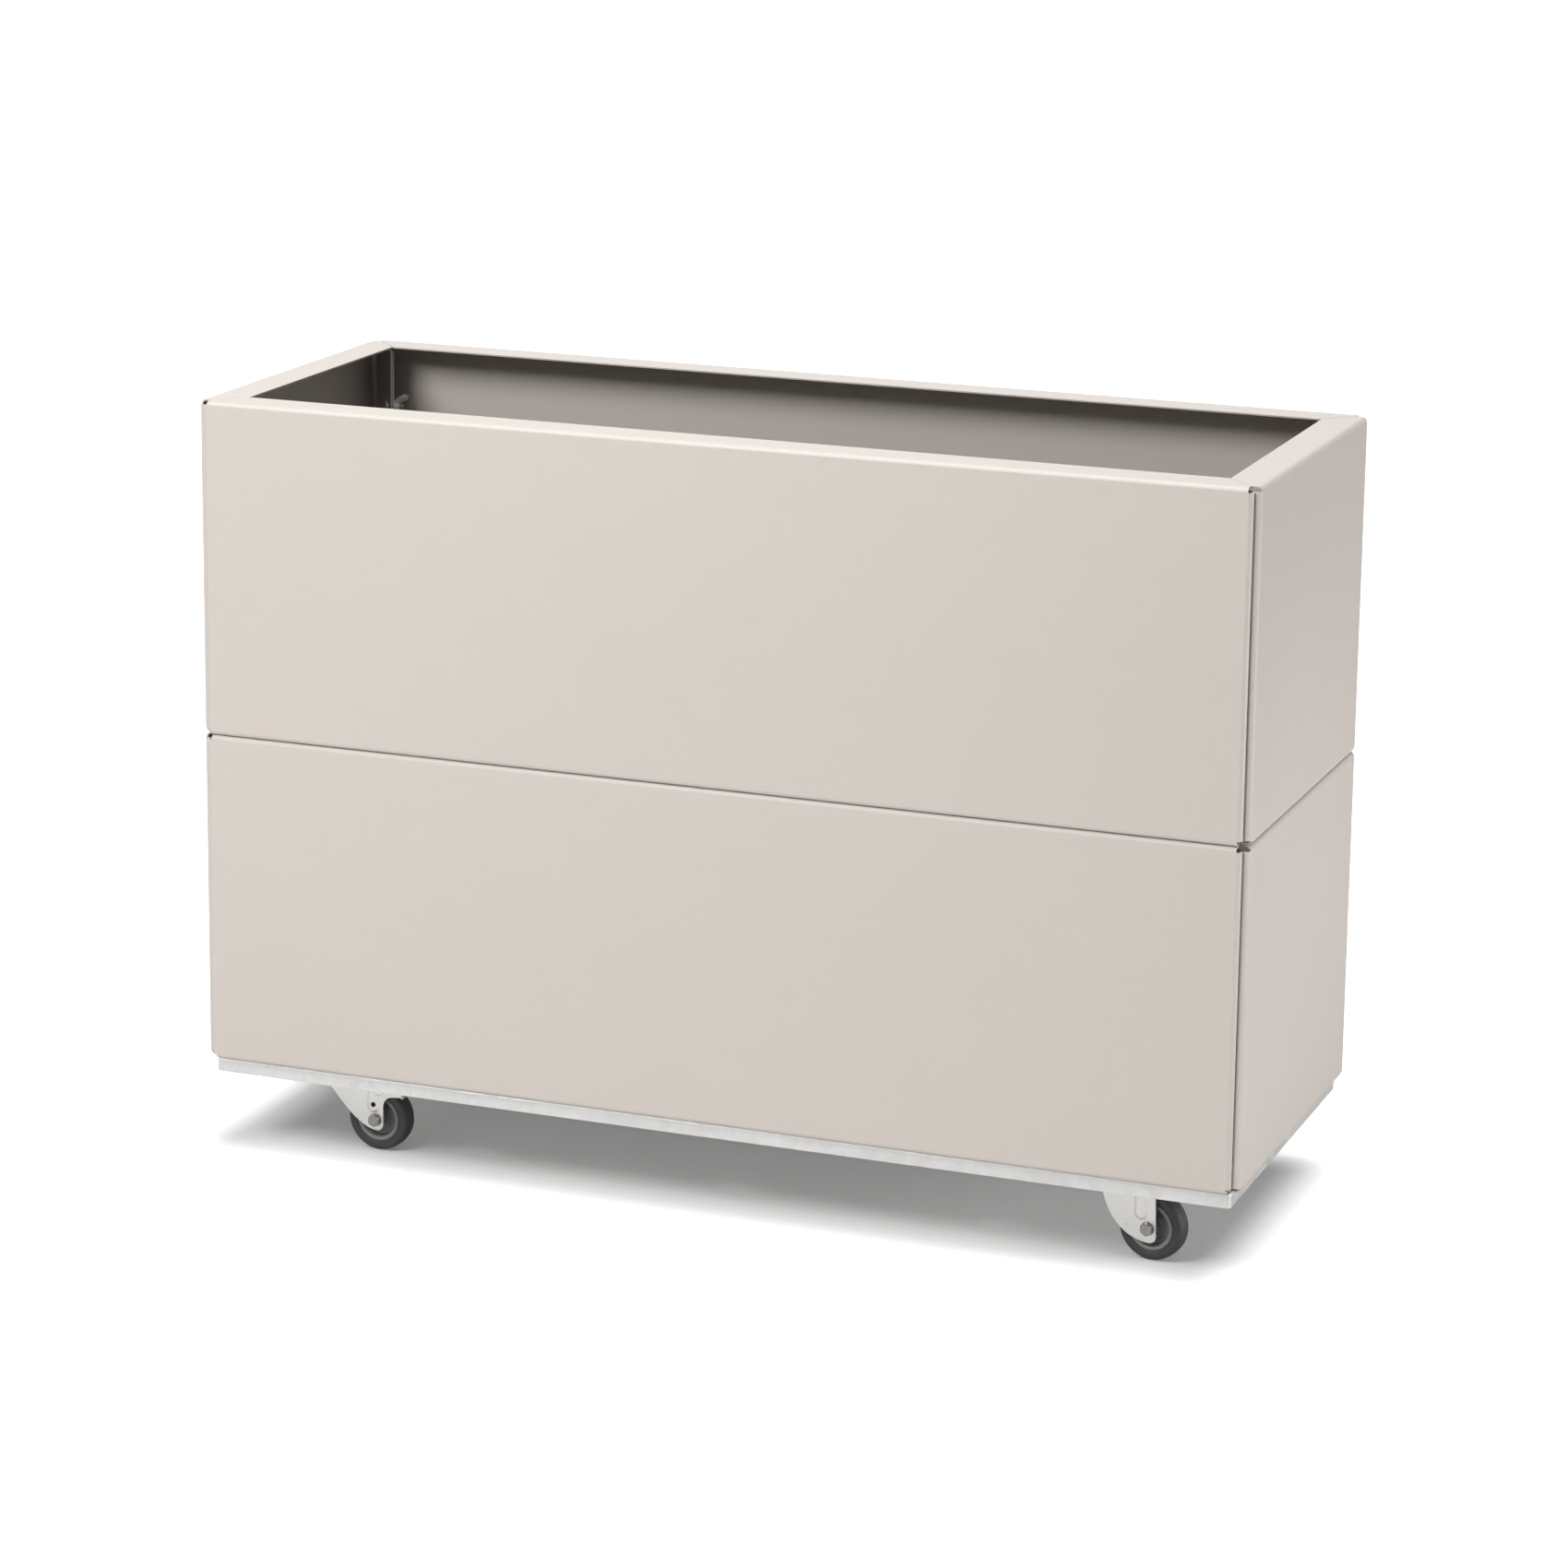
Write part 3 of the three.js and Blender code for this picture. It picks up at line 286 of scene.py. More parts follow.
def placed(obj, matrix):
    obj.data.transform(matrix)
    return obj


def joined(name, objects):
    """One mesh of several finished meshes."""
    bm = bmesh.new()
    for obj in objects:
        settled(obj)
        bm.from_mesh(obj.data)
        bpy.data.objects.remove(obj)
    result = object_from(bm, name)
    for polygon in result.data.polygons:
        polygon.use_smooth = True
    result.data.set_sharp_from_angle(angle=SHARP_FROM)
    return result


def fit(piece, body, slot_name, material, *nodes):
    """Gives a finished piece its material and its place in the frame."""
    piece.data.materials.clear()
    piece.data.materials.append(material)
    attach(piece, body)
    if nodes:
        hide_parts(*nodes)
    return piece


# ------------------------------------------------------------------ shared finishes
def new_group(name, inputs, outputs):
    """A shader node group with float inputs, given as name: default, and named outputs."""
    group = bpy.data.node_groups.new(name, "ShaderNodeTree")
    for label, default in inputs.items():
        socket = group.interface.new_socket(label, in_out="INPUT", socket_type="NodeSocketFloat")
        socket.default_value = default
    for label in outputs:
        group.interface.new_socket(label, in_out="OUTPUT", socket_type="NodeSocketFloat")
    return group, group.nodes.new("NodeGroupInput"), group.nodes.new("NodeGroupOutput")


def math_node(tree, operation, a, b=None, c=None):
    node = tree.nodes.new("ShaderNodeMath")
    node.operation = operation
    for socket, value in zip(node.inputs, (a, b, c)):
        if value is None:
            continue
        if isinstance(value, (int, float)):
            socket.default_value = value
        else:
            tree.links.new(value, socket)
    return node.outputs[0]


def noise(tree, scale, detail=2.0, roughness=0.5, vector=None):
    node = tree.nodes.new("ShaderNodeTexNoise")
    node.inputs["Detail"].default_value = detail
    node.inputs["Roughness"].default_value = roughness
    if isinstance(scale, (int, float)):
        node.inputs["Scale"].default_value = scale
    else:
        tree.links.new(scale, node.inputs["Scale"])
    coordinates = vector or tree.nodes.new("ShaderNodeTexCoord").outputs["Object"]
    tree.links.new(coordinates, node.inputs["Vector"])
    return node.outputs[0]


def centred(tree, value, amount):
    """A value round 0.5 turned into one round 1, that varies by the amount each way."""
    return math_node(tree, "MULTIPLY_ADD", math_node(tree, "SUBTRACT", value, 0.5), amount, 1.0)


def coat_texture_group():
    """Powder coat: the fine orange peel of its surface, with slow changes of shade and gloss."""
    group, source, sink = new_group(
        "coat_texture",
        {"Peel Scale": 700.0, "Drift Scale": 3.0, "Shade Amount": 0.1, "Gloss Amount": 0.3},
        ("Shade", "Gloss", "Peel"),
    )
    peel = noise(group, source.outputs["Peel Scale"], 1.0)
    drift = noise(group, source.outputs["Drift Scale"], 3.0)
    fleck = noise(group, 2600.0, 0.0)
    shade = centred(group, drift, source.outputs["Shade Amount"])
    flecked = math_node(group, "MULTIPLY", shade, centred(group, fleck, 0.05))
    group.links.new(flecked, sink.inputs["Shade"])
    group.links.new(centred(group, drift, source.outputs["Gloss Amount"]), sink.inputs["Gloss"])
    group.links.new(peel, sink.inputs["Peel"])
    return group


def metal_texture_group():
    """Plated steel: fine scratches, smudges and mill grain along X."""
    group, source, sink = new_group(
        "metal_texture",
        {"Grain Scale": 900.0, "Smudge Scale": 14.0, "Shade Amount": 0.15, "Gloss Amount": 0.5},
        ("Shade", "Gloss", "Grain"),
    )
    coordinates = group.nodes.new("ShaderNodeTexCoord")
    stretch = group.nodes.new("ShaderNodeMapping")
    stretch.inputs["Scale"].default_value = (0.06, 1, 1)
    group.links.new(coordinates.outputs["Object"], stretch.inputs["Vector"])
    grain = noise(group, source.outputs["Grain Scale"], 2.0, 0.6, stretch.outputs[0])
    smudge = noise(group, source.outputs["Smudge Scale"], 4.0, 0.6)
    both = math_node(group, "MULTIPLY_ADD", grain, 0.35, math_node(group, "MULTIPLY", smudge, 0.65))
    group.links.new(centred(group, both, source.outputs["Shade Amount"]), sink.inputs["Shade"])
    group.links.new(centred(group, smudge, source.outputs["Gloss Amount"]), sink.inputs["Gloss"])
    group.links.new(grain, sink.inputs["Grain"])
    return group


def spangle_group():
    """Hot-dip zinc: crystals of different shade, with soft edges, and a milky bloom over them."""
    group, source, sink = new_group(
        "zinc_spangle",
        {"Crystal Scale": 150.0, "Crystal Amount": 0.2, "Bloom Scale": 9.0},
        ("Shade", "Gloss", "Relief"),
    )
    coordinates = group.nodes.new("ShaderNodeTexCoord").outputs["Object"]
    warp = group.nodes.new("ShaderNodeTexNoise")
    warp.inputs["Scale"].default_value = 60.0
    group.links.new(coordinates, warp.inputs["Vector"])
    mix = group.nodes.new("ShaderNodeMix")
    mix.data_type = "VECTOR"
    mix.inputs["Factor"].default_value = 0.012
    group.links.new(coordinates, mix.inputs["A"])
    group.links.new(warp.outputs["Color"], mix.inputs["B"])
    crystal = group.nodes.new("ShaderNodeTexVoronoi")
    group.links.new(source.outputs["Crystal Scale"], crystal.inputs["Scale"])
    group.links.new(mix.outputs["Result"], crystal.inputs["Vector"])
    tone = group.nodes.new("ShaderNodeSeparateColor")
    group.links.new(crystal.outputs["Color"], tone.inputs[0])
    bloom = noise(group, source.outputs["Bloom Scale"], 4.0, 0.6)
    shade = centred(group, tone.outputs[0], source.outputs["Crystal Amount"])
    group.links.new(math_node(group, "MULTIPLY", shade, centred(group, bloom, 0.16)), sink.inputs["Shade"])
    gloss = math_node(group, "MULTIPLY", centred(group, tone.outputs[1], 0.5), centred(group, bloom, 0.4))
    group.links.new(gloss, sink.inputs["Gloss"])
    group.links.new(crystal.outputs["Distance"], sink.inputs["Relief"])
    return group


def material(name, colour, roughness, metallic, group, settings, relief, distance, strength=0.3, bounce=1.0):
    """A Principled material whose shade, roughness and bump come from one of the shared groups.
    `bounce` is the share of its colour that it passes on to the pieces round it."""
    made = bpy.data.materials.new(name)
    made.use_nodes = True
    tree = made.node_tree
    shader = tree.nodes["Principled BSDF"]
    shader.inputs["Metallic"].default_value = metallic
    texture = tree.nodes.new("ShaderNodeGroup")
    texture.node_tree = group
    for label, value in settings.items():
        texture.inputs[label].default_value = value
    scaled = tree.nodes.new("ShaderNodeVectorMath")
    scaled.operation = "SCALE"
    scaled.inputs[0].default_value = colour
    shade = texture.outputs["Shade"]
    if bounce < 1:
        passed_on = tree.nodes.new("ShaderNodeLightPath").outputs["Is Diffuse Ray"]
        kept = math_node(tree, "MULTIPLY_ADD", passed_on, bounce - 1, 1.0)
        shade = math_node(tree, "MULTIPLY", shade, kept)
    tree.links.new(shade, scaled.inputs["Scale"])
    tree.links.new(scaled.outputs[0], shader.inputs["Base Color"])
    gloss = math_node(tree, "MULTIPLY", texture.outputs["Gloss"], roughness)
    tree.links.new(gloss, shader.inputs["Roughness"])
    bump = tree.nodes.new("ShaderNodeBump")
    bump.inputs["Strength"].default_value = strength
    bump.inputs["Distance"].default_value = distance
    tree.links.new(texture.outputs[relief], bump.inputs["Height"])
    tree.links.new(bump.outputs[0], shader.inputs["Normal"])
    return made


coat = coat_texture_group()
metal = metal_texture_group()
spangle = spangle_group()

powder_coat = material(
    "powder_coat", (0.66, 0.605, 0.555), 0.42, 0.0, coat,
    {"Peel Scale": 900.0, "Drift Scale": 2.2, "Shade Amount": 0.05, "Gloss Amount": 0.25},
    "Peel", 0.03 * MM,
    bounce=0.45,
)
galvanised = material(
    "galvanised_steel", (0.7, 0.7, 0.69), 0.42, 0.6, spangle,
    {"Crystal Scale": 110.0, "Crystal Amount": 0.08, "Bloom Scale": 9.0},
    "Relief", 0.05 * MM,
)
bright_zinc = material(
    "bright_zinc", (0.8, 0.79, 0.775), 0.3, 0.85, metal,
    {"Grain Scale": 900.0, "Smudge Scale": 60.0, "Shade Amount": 0.16, "Gloss Amount": 0.7},
    "Grain", 0.03 * MM,
)
dull_zinc = material(
    "dull_zinc", (0.5, 0.49, 0.47), 0.45, 0.8, metal,
    {"Grain Scale": 700.0, "Smudge Scale": 120.0, "Shade Amount": 0.3, "Gloss Amount": 0.6},
    "Grain", 0.05 * MM,
)
# Axle bolts: a darker copy of the zinc, as painted shade for the dark underside that the shiny nuts reflect.
dark_zinc = material(
    "dark_zinc", (0.34, 0.33, 0.32), 0.28, 1.0, metal,
    {"Grain Scale": 900.0, "Smudge Scale": 150.0, "Shade Amount": 0.3, "Gloss Amount": 0.6},
    "Grain", 0.04 * MM,
)
tyre_rubber = material(
    "tyre_rubber", (0.04, 0.041, 0.04), 0.6, 0.0, coat,
    {"Peel Scale": 1500.0, "Drift Scale": 40.0, "Shade Amount": 0.5, "Gloss Amount": 0.3},
    "Peel", 0.08 * MM, 0.5,
)
# A paler copy of the hub's nylon for the ring: painted light, standing in for the lit rim beside the web in
# shade.
ring_nylon = material(
    "ring_nylon", (0.22, 0.22, 0.218), 0.45, 0.0, coat,
    {"Peel Scale": 1200.0, "Drift Scale": 60.0, "Shade Amount": 0.15, "Gloss Amount": 0.3},
    "Peel", 0.05 * MM,
)
hub_nylon = material(
    "hub_nylon", (0.14, 0.141, 0.141), 0.5, 0.0, coat,
    {"Peel Scale": 1200.0, "Drift Scale": 60.0, "Shade Amount": 0.2, "Gloss Amount": 0.3},
    "Peel", 0.05 * MM,
)


# ------------------------------------------------------------------ collar panels
def channel_path(height, mitre_start, foot):
    """Section of a panel's outer surface, from the bottom flange's edge to the rim's edge."""
    r = FOLD_RADIUS
    lower = [(RIM_WIDTH, 0), (mitre_start, 0)] + arc((r, r), r, 270, 180, 8) + [(0, foot)]
    return lower + [(y, height - z) for y, z in reversed(lower)]


def panel(name, length, height):
    """A folded panel along X with its face on y = 0, its rim towards +Y and its foot on z = 0."""
    r = FOLD_RADIUS
    fold = length / 2 - r - math.sqrt(2) * (r + FIT_GAP / 2)
    mitre = length / 2 - MITRE_GAP / math.sqrt(2)
    foot = SHEET + RELIEF_GAP
    bm = bmesh.new()
    rows = []
    for y, z in channel_path(height, mitre - fold, foot):
        half = min(fold, mitre - y)
        rows.append([(-half, y, z), (half, y, z)])
    add_grid(bm, rows)
    mitre_plane = length / 2 - FIT_GAP / math.sqrt(2)
    corner = arc((fold, r), r, -90, 45, 10) + [(mitre_plane - CORNER_FLANGE_END, CORNER_FLANGE_END)]
    for side in (-1, 1):
        path = corner if side > 0 else list(reversed(corner))
        add_grid(bm, [[(side * x, y, z) for x, y in path] for z in (foot, height - foot)])
    bmesh.ops.remove_doubles(bm, verts=bm.verts, dist=1e-6)
    obj = sheet_thickness(object_from(bm, name), SHEET)
    return soften(obj, CUT_EDGE_BEVEL)


def panels():
    sides = {"front": 0, "right": 90, "back": 180, "left": 270}
    for level in LEVELS:
        low, high = end_panel_box[level]
        for side, degrees in sides.items():
            long_side = side in ("front", "back")
            length, out = (LENGTH, WIDTH / 2) if long_side else (WIDTH, LENGTH / 2)
            node = f"{level}_{side}_panel"
            made = panel(f"{level}_{side}_sheet", length, high.z - low.z)
            turn = Matrix.Rotation(math.radians(degrees), 4, "Z")
            placed(made, turn @ Matrix.Translation((0, FACE_INSET - out, 0)))
            placed(made, Matrix.Translation((0, 0, low.z)))
            fit(made, "root", "coating", powder_coat, node)


# ------------------------------------------------------------------ fasteners
def thread(radius, start, end, pitch=1.0 * MM):
    """Profile of a thread's ridges, from one height to another."""
    turns = max(1, round(abs(end - start) / pitch))
    step = (end - start) / turns
    points = []
    for i in range(turns):
        points.append((radius * 0.86, start + step * i))
        points.append((radius, start + step * (i + 0.5)))
    return points + [(radius * 0.86, end)]


def hex_nut(name, across, height, bore):
    """A nut with its seat on z = 0 and both faces chamfered, or a solid bolt head where bore is 0."""
    tip = across / 2 * 0.97
    corner = across / math.sqrt(3)
    slope = (corner - tip) * 0.5
    profile = [(bore, 0), (tip, 0), (corner, slope), (corner, height - slope), (tip, height), (bore, height)]
    return turned(name, profile, 48, across)


def washer(name, outer, bore, height):
    edge = 0.2 * MM
    profile = [(bore, 0), (outer, 0), (outer, height - edge), (outer - edge, height), (bore, height)]
    return turned(name, profile, 40)


def corner_bolt():
    """Domed bolt along Z through the mitre plane at z = 0, with its head on the -Z side."""
    seat = FIT_GAP / 2 + SHEET
    head, rise, shank = 9 * MM, 4.5 * MM, CORNER_BOLT / 2
    angles = [math.pi / 2 * i / 12 for i in range(13)]
    dome = [(head * math.sin(a), -seat - 0.5 * MM - (rise - 0.5 * MM) * math.cos(a)) for a in angles]
    end = seat + 17 * MM
    ridges = thread(shank, -seat + 0.1 * MM, end - 0.8 * MM, 1.25 * MM)
    neck, tip = [(head, -seat), (shank, -seat)], [(shank * 0.7, end), (0, end)]
    return turned("corner_bolt", dome + neck + ridges + tip, 40)


def wing_nut():
    """Cast wing nut along Z with its seat on z = 0 and its wings along X."""
    bore, base, top, height = CORNER_BOLT / 2 + 0.45 * MM, 8 * MM, 6.5 * MM, 10 * MM
    parts = [turned("barrel", [(bore, 0), (base, 0), (base, 1.5 * MM), (top, height), (bore, height)], 32)]
    tip_x, tip_z, tip_r = 14.5 * MM, 15 * MM, 5 * MM
    for side in (-1, 1):
        outline = [(4.8 * MM, 1 * MM), (8 * MM, 1 * MM), (tip_x, 6 * MM)]
        outline += arc((tip_x, tip_z), tip_r, -25, 150, 14) + [(4.8 * MM, 9.6 * MM)]
        outline = [(side * x, z) for x, z in outline]
        parts.append(prism("wing", outline, (X, Z, -Y), -1.5 * MM, 1.5 * MM))
    cast = joined("wing_nut", parts)
    modify(cast, "REMESH", mode="VOXEL", voxel_size=0.6 * MM)
    modify(cast, "SMOOTH", factor=0.5, iterations=3)
    modify(cast, "DECIMATE", ratio=0.35)
    return settled(cast)


def seam_bolt(sheet_below):
    """Bolt along Z through the seam: head above the upper flange's foot at z = 0, nut below."""
    under = -2 * FIT_GAP - sheet_below
    head = placed(hex_nut("head", 10 * MM, 2.4 * MM, 0), Matrix.Translation((0, 0, SHEET)))
    nut = hex_nut("nut", 10 * MM, 5 * MM, SEAM_BOLT / 2 * 0.9)
    placed(nut, Matrix.Translation((0, 0, under - 5 * MM)))
    low, high = under - 7.6 * MM, SHEET + 1 * MM
    shank = turned("shank", [(0, low - 0.4 * MM), (SEAM_BOLT / 2 * 0.7, low - 0.4 * MM)]
                   + thread(SEAM_BOLT / 2, low, high) + [(0, high)], 24)
    return joined("seam_bolt", [head, nut, shank])


def plate_bolt():
    """Bolt along Z that holds a castor plate: head and washer above the deck, nut below the plate.
    z = 0 is the plate's underside."""
    deck = PLATE_THICKNESS + SHEET + 2 * FIT_GAP
    ring = placed(washer("ring", 8 * MM, PLATE_BOLT / 2, 1.2 * MM), Matrix.Translation((0, 0, deck)))
    head = placed(hex_nut("head", 13 * MM, 3.8 * MM, 0), Matrix.Translation((0, 0, deck + 1.2 * MM)))
    nut = placed(hex_nut("nut", 13 * MM, 5 * MM, PLATE_BOLT / 2 * 0.9), Matrix.Translation((0, 0, -5 * MM)))
    low, high = -7.6 * MM, deck + 2 * MM
    shank = turned("shank", [(0, low - 0.4 * MM), (PLATE_BOLT / 2 * 0.7, low - 0.4 * MM)]
                   + thread(PLATE_BOLT / 2, low, high, 1.25 * MM) + [(0, high)], 24)
    return joined("plate_bolt", [ring, head, nut, shank])


def fastener_tree():
    """Puts a fastener on every point, its Z along the point's axis and its X along its spread."""
    tree = bpy.data.node_groups.new("place_fasteners", "GeometryNodeTree")
    sockets = {}
    inputs = {"Places": "Geometry", "Fastener": "Object", "Size": "Float", "Finish": "Material"}
    for label, kind in inputs.items():
        socket = tree.interface.new_socket(label, in_out="INPUT", socket_type=f"NodeSocket{kind}")
        sockets[label] = socket.identifier
    tree.interface.new_socket("Fasteners", in_out="OUTPUT", socket_type="NodeSocketGeometry")
    source, sink = tree.nodes.new("NodeGroupInput"), tree.nodes.new("NodeGroupOutput")
    shape = tree.nodes.new("GeometryNodeObjectInfo")
    tree.links.new(source.outputs["Fastener"], shape.inputs["Object"])
    facing = tree.nodes.new("FunctionNodeAxesToRotation")
    facing.primary_axis, facing.secondary_axis = "Z", "X"
    for label, socket in (("axis", 0), ("spread", 1)):
        attribute = tree.nodes.new("GeometryNodeInputNamedAttribute")
        attribute.data_type = "FLOAT_VECTOR"
        attribute.inputs["Name"].default_value = label
        tree.links.new(attribute.outputs[0], facing.inputs[socket])
    instance = tree.nodes.new("GeometryNodeInstanceOnPoints")
    tree.links.new(source.outputs["Places"], instance.inputs["Points"])
    tree.links.new(shape.outputs["Geometry"], instance.inputs["Instance"])
    tree.links.new(facing.outputs[0], instance.inputs["Rotation"])
    tree.links.new(source.outputs["Size"], instance.inputs["Scale"])
    realize = tree.nodes.new("GeometryNodeRealizeInstances")
    finish = tree.nodes.new("GeometryNodeSetMaterial")
    tree.links.new(instance.outputs[0], realize.inputs[0])
    tree.links.new(realize.outputs[0], finish.inputs["Geometry"])
    tree.links.new(source.outputs["Finish"], finish.inputs["Material"])
    tree.links.new(finish.outputs[0], sink.inputs[0])
    return tree, sockets


def place_fasteners(name, prototype, places, finish, *nodes):
    """One piece of many like fasteners. A place is (point, axis, spread)."""
    mesh = bpy.data.meshes.new(name)
    mesh.from_pydata([tuple(point) for point, _, _ in places], [], [])
    for label, column in (("axis", 1), ("spread", 2)):
        attribute = mesh.attributes.new(label, "FLOAT_VECTOR", "POINT")
        for item, place in zip(attribute.data, places):
            item.vector = place[column]
    obj = bpy.data.objects.new(name, mesh)
    bpy.context.scene.collection.objects.link(obj)
    modifier = modify(obj, "NODES", node_group=FASTENER_TREE)
    modifier[FASTENER_SOCKETS["Fastener"]] = prototype
    modifier[FASTENER_SOCKETS["Size"]] = 1.0
    modifier[FASTENER_SOCKETS["Finish"]] = finish
    settled(obj)
    bpy.data.objects.remove(prototype)
    return fit(obj, "root", "zinc", finish, *nodes)


def corner_signs(corner):
    return (1 if corner.endswith("right") else -1), (1 if corner.startswith("rear") else -1)


def corner_bolt_places(low, high):
    """Middle of each corner bolt of a collar on its mitre plane, as (corner, height name, point,
    direction from the end panel to the long one)."""
    inset = CORNER_FLANGE_END - CORNER_BOLT_FROM_FLANGE_END / math.sqrt(2)
    places = []
    inward = CORNER_BOLT_FROM_COLLAR_END
    for row, z in (("low", low.z + inward), ("high", high.z - inward)):
        for corner in CORNERS:
            sx, sy = corner_signs(corner)
            point = Vector((sx * (LENGTH / 2 - inset), sy * (WIDTH / 2 - inset), z))
            places.append((corner, row, point, Vector((-sx, sy, 0)).normalized()))
    return places


def collar_fasteners():
    for level in LEVELS:
        places = corner_bolt_places(*end_panel_box[level])
        bolts = [(point, axis, Z) for _, _, point, axis in places]
        place_fasteners(f"{level}_corner_bolts", corner_bolt(), bolts, dull_zinc)
        nuts, nodes = [], []
        for i, (corner, row, point, axis) in enumerate(places):
            sx, sy = corner_signs(corner)
            column = CORNERS.index(corner)
            tilt = math.radians(WING_TILTS[(column + (1 if row == "low" else 0)) % len(WING_TILTS)])
            inward = Vector((-sx, -sy, 0)).normalized()
            spread = inward * math.cos(tilt) + Z * math.sin(tilt)
            nuts.append((point + axis * (SHEET + 1.5 * FIT_GAP), axis, spread))
            nodes.append(f"{level}_wing_nut_{corner}_{row}")
        place_fasteners(f"{level}_wing_nuts", wing_nut(), nuts, dull_zinc, *nodes)
        foot = end_panel_box[level][0].z
        seam = [(Vector((sx * SEAM_BOLT_AT, sy * (WIDTH / 2 - SEAM_BOLT_INSET), foot)), Z, X)
                for sx in (-1, 1) for sy in (-1, 1)]
        place_fasteners(f"{level}_seam_bolts", seam_bolt(SHEET), seam, dull_zinc)


# ------------------------------------------------------------------ base
def ring_points(half_x, half_y, radius, z, steps=5):
    """A rounded rectangle at one height, anticlockwise."""
    points = []
    for sx, sy, start in ((1, 1, 0), (-1, 1, 90), (-1, -1, 180), (1, -1, 270)):
        centre = (sx * (half_x - radius), sy * (half_y - radius))
        points += [(x, y, z) for x, y in arc(centre, radius, start, start + 90, steps)]
    return points


def base_pan():
    half_x, half_y = pan_high.x, pan_high.y
    r = BASE_FOLD_RADIUS
    corner = r + 0.6 * MM
    bm = bmesh.new()
    path = [(0, pan_low.z)] + [(r - r * math.cos(a), pan_high.z - r + r * math.sin(a))
                               for a in (math.pi / 2 * i / 8 for i in range(9))]
    grid = add_grid(bm, [ring_points(half_x - d, half_y - d, corner - d, z) for d, z in path], closed=True)
    bm.faces.new(grid[-1])
    pan = sheet_thickness(object_from(recalculated(bm), "base_pan_sheet"), SHEET)
    drains = []
    for x in (-DRAIN_AT[0], 0, DRAIN_AT[0]):
        for y in (-DRAIN_AT[1], DRAIN_AT[1]):
            hole = arc((x, y), DRAIN_HOLE / 2, 0, 360 - 11.25, 31)
            drains.append(prism("drain", hole, (X, Y, Z), pan_high.z - 0.01, pan_high.z + 0.01))
    cutters = joined("drains", drains)
    modify(pan, "BOOLEAN", object=cutters, operation="DIFFERENCE", solver="EXACT")
    settled(pan)
    bpy.data.objects.remove(cutters)
    fit(soften(pan, CUT_EDGE_BEVEL), "root", "galvanised", galvanised, "base_pan")


def stiffeners():
    for side in ("left", "right"):
        low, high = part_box(f"stiffener_{side}")
        middle = (low.x + high.x) / 2
        crown, foot = STIFFENER_CROWN / 2, STIFFENER_CROWN / 2 + STIFFENER_FLARE
        brim = foot + STIFFENER_BRIM
        top, bottom = high.z - SHEET, low.z
        r = 1.8 * MM
        corners = [(-brim, top), (-foot, top, r), (-crown, bottom, r)]
        corners += [(crown, bottom, r), (foot, top, r), (brim, top)]
        bm = bmesh.new()
        rows = [[(middle + x, low.y, z), (middle + x, high.y, z)] for x, z in rounded(corners, closed=False)]
        add_grid(bm, rows)
        for face in bm.faces:
            face.normal_update()
        if sum(face.normal.z * face.calc_area() for face in bm.faces) > 0:
            bmesh.ops.reverse_faces(bm, faces=bm.faces)
        hat = sheet_thickness(object_from(bm, f"stiffener_{side}_hat"), SHEET)
        fit(soften(hat, CUT_EDGE_BEVEL), "root", "galvanised", galvanised, f"stiffener_{side}")


# ------------------------------------------------------------------ castors, made with the swivel
# axis on Z over the origin and the wheel trailing along +X
def castor_plate():
    low = PLATE_UNDER
    slab = prism("slab", ring_outline(*PLATE_SIZE, 8 * MM), (X, Y, Z), low, low + PLATE_THICKNESS)
    modify(slab, "BEVEL", width=0.6 * MM, segments=2, limit_method="ANGLE", angle_limit=math.radians(50))
    race = RACE / 2
    under = low - RACE_DEPTH
    profile = rounded([(0, low + 1 * MM), (race + 3 * MM, low + 1 * MM), (race, low, 2 * MM),
                       (race - 2 * MM, under, 1.6 * MM), (KINGPIN / 2 + 6 * MM, under, 1 * MM),
                       (KINGPIN / 2 + 5 * MM, under + 2 * MM), (0, under + 2 * MM)], steps=4)
    race_body = turned("race", profile, 64)
    crown = FORK_TOP - FORK_SHEET - FIT_GAP
    head = 9 * MM
    foot = crown - 4 * MM
    corners = [(0, foot), (head * 0.62, foot, 2 * MM), (head, crown - 0.6 * MM, 0.6 * MM), (head, crown),
               (KINGPIN / 2, crown), (KINGPIN / 2, under + 3 * MM), (0, under + 3 * MM)]
    pin = turned("kingpin", rounded(corners, steps=4), 40)
    return joined("castor_plate", [slab, race_body, pin])


def ring_outline(length, width, radius):
    return [(x, y) for x, y, _ in ring_points(length / 2, width / 2, radius, 0, 8)]


def swivel_race():
    outer = BEARING / 2
    low = FORK_TOP + FIT_GAP
    high = low + 6.4 * MM
    bore = KINGPIN / 2 + 4 * MM
    corners = [(bore, low), (outer - 2 * MM, low, 0.6 * MM), (outer, low + 3 * MM, 2 * MM),
               (outer, high + 2 * MM, 0.3 * MM), (outer - 0.7 * MM, high + 2 * MM, 0.3 * MM),
               (RACE / 2 + 0.9 * MM, high, 0.8 * MM), (bore, high)]
    return turned("swivel_race", rounded(corners, steps=4), 64)


def plain_fork_edges():
    """Front and rear edges of a plain fork's legs from the axle, as (x, z) with z rising."""
    nose, low, right = -TRAIL - FORK_NOSE, -16 * MM, 10 * MM
    tip = nose + 2 * MM
    front = bezier((0, low), (0.65 * nose, 0.85 * low), (tip, 0.38 * FORK_CROWN), (tip, FORK_CROWN))
    rear = rounded([(0, low), (right, low, 8 * MM), (right - 2 * MM, FORK_CROWN)], closed=False, steps=10)
    return front, rear


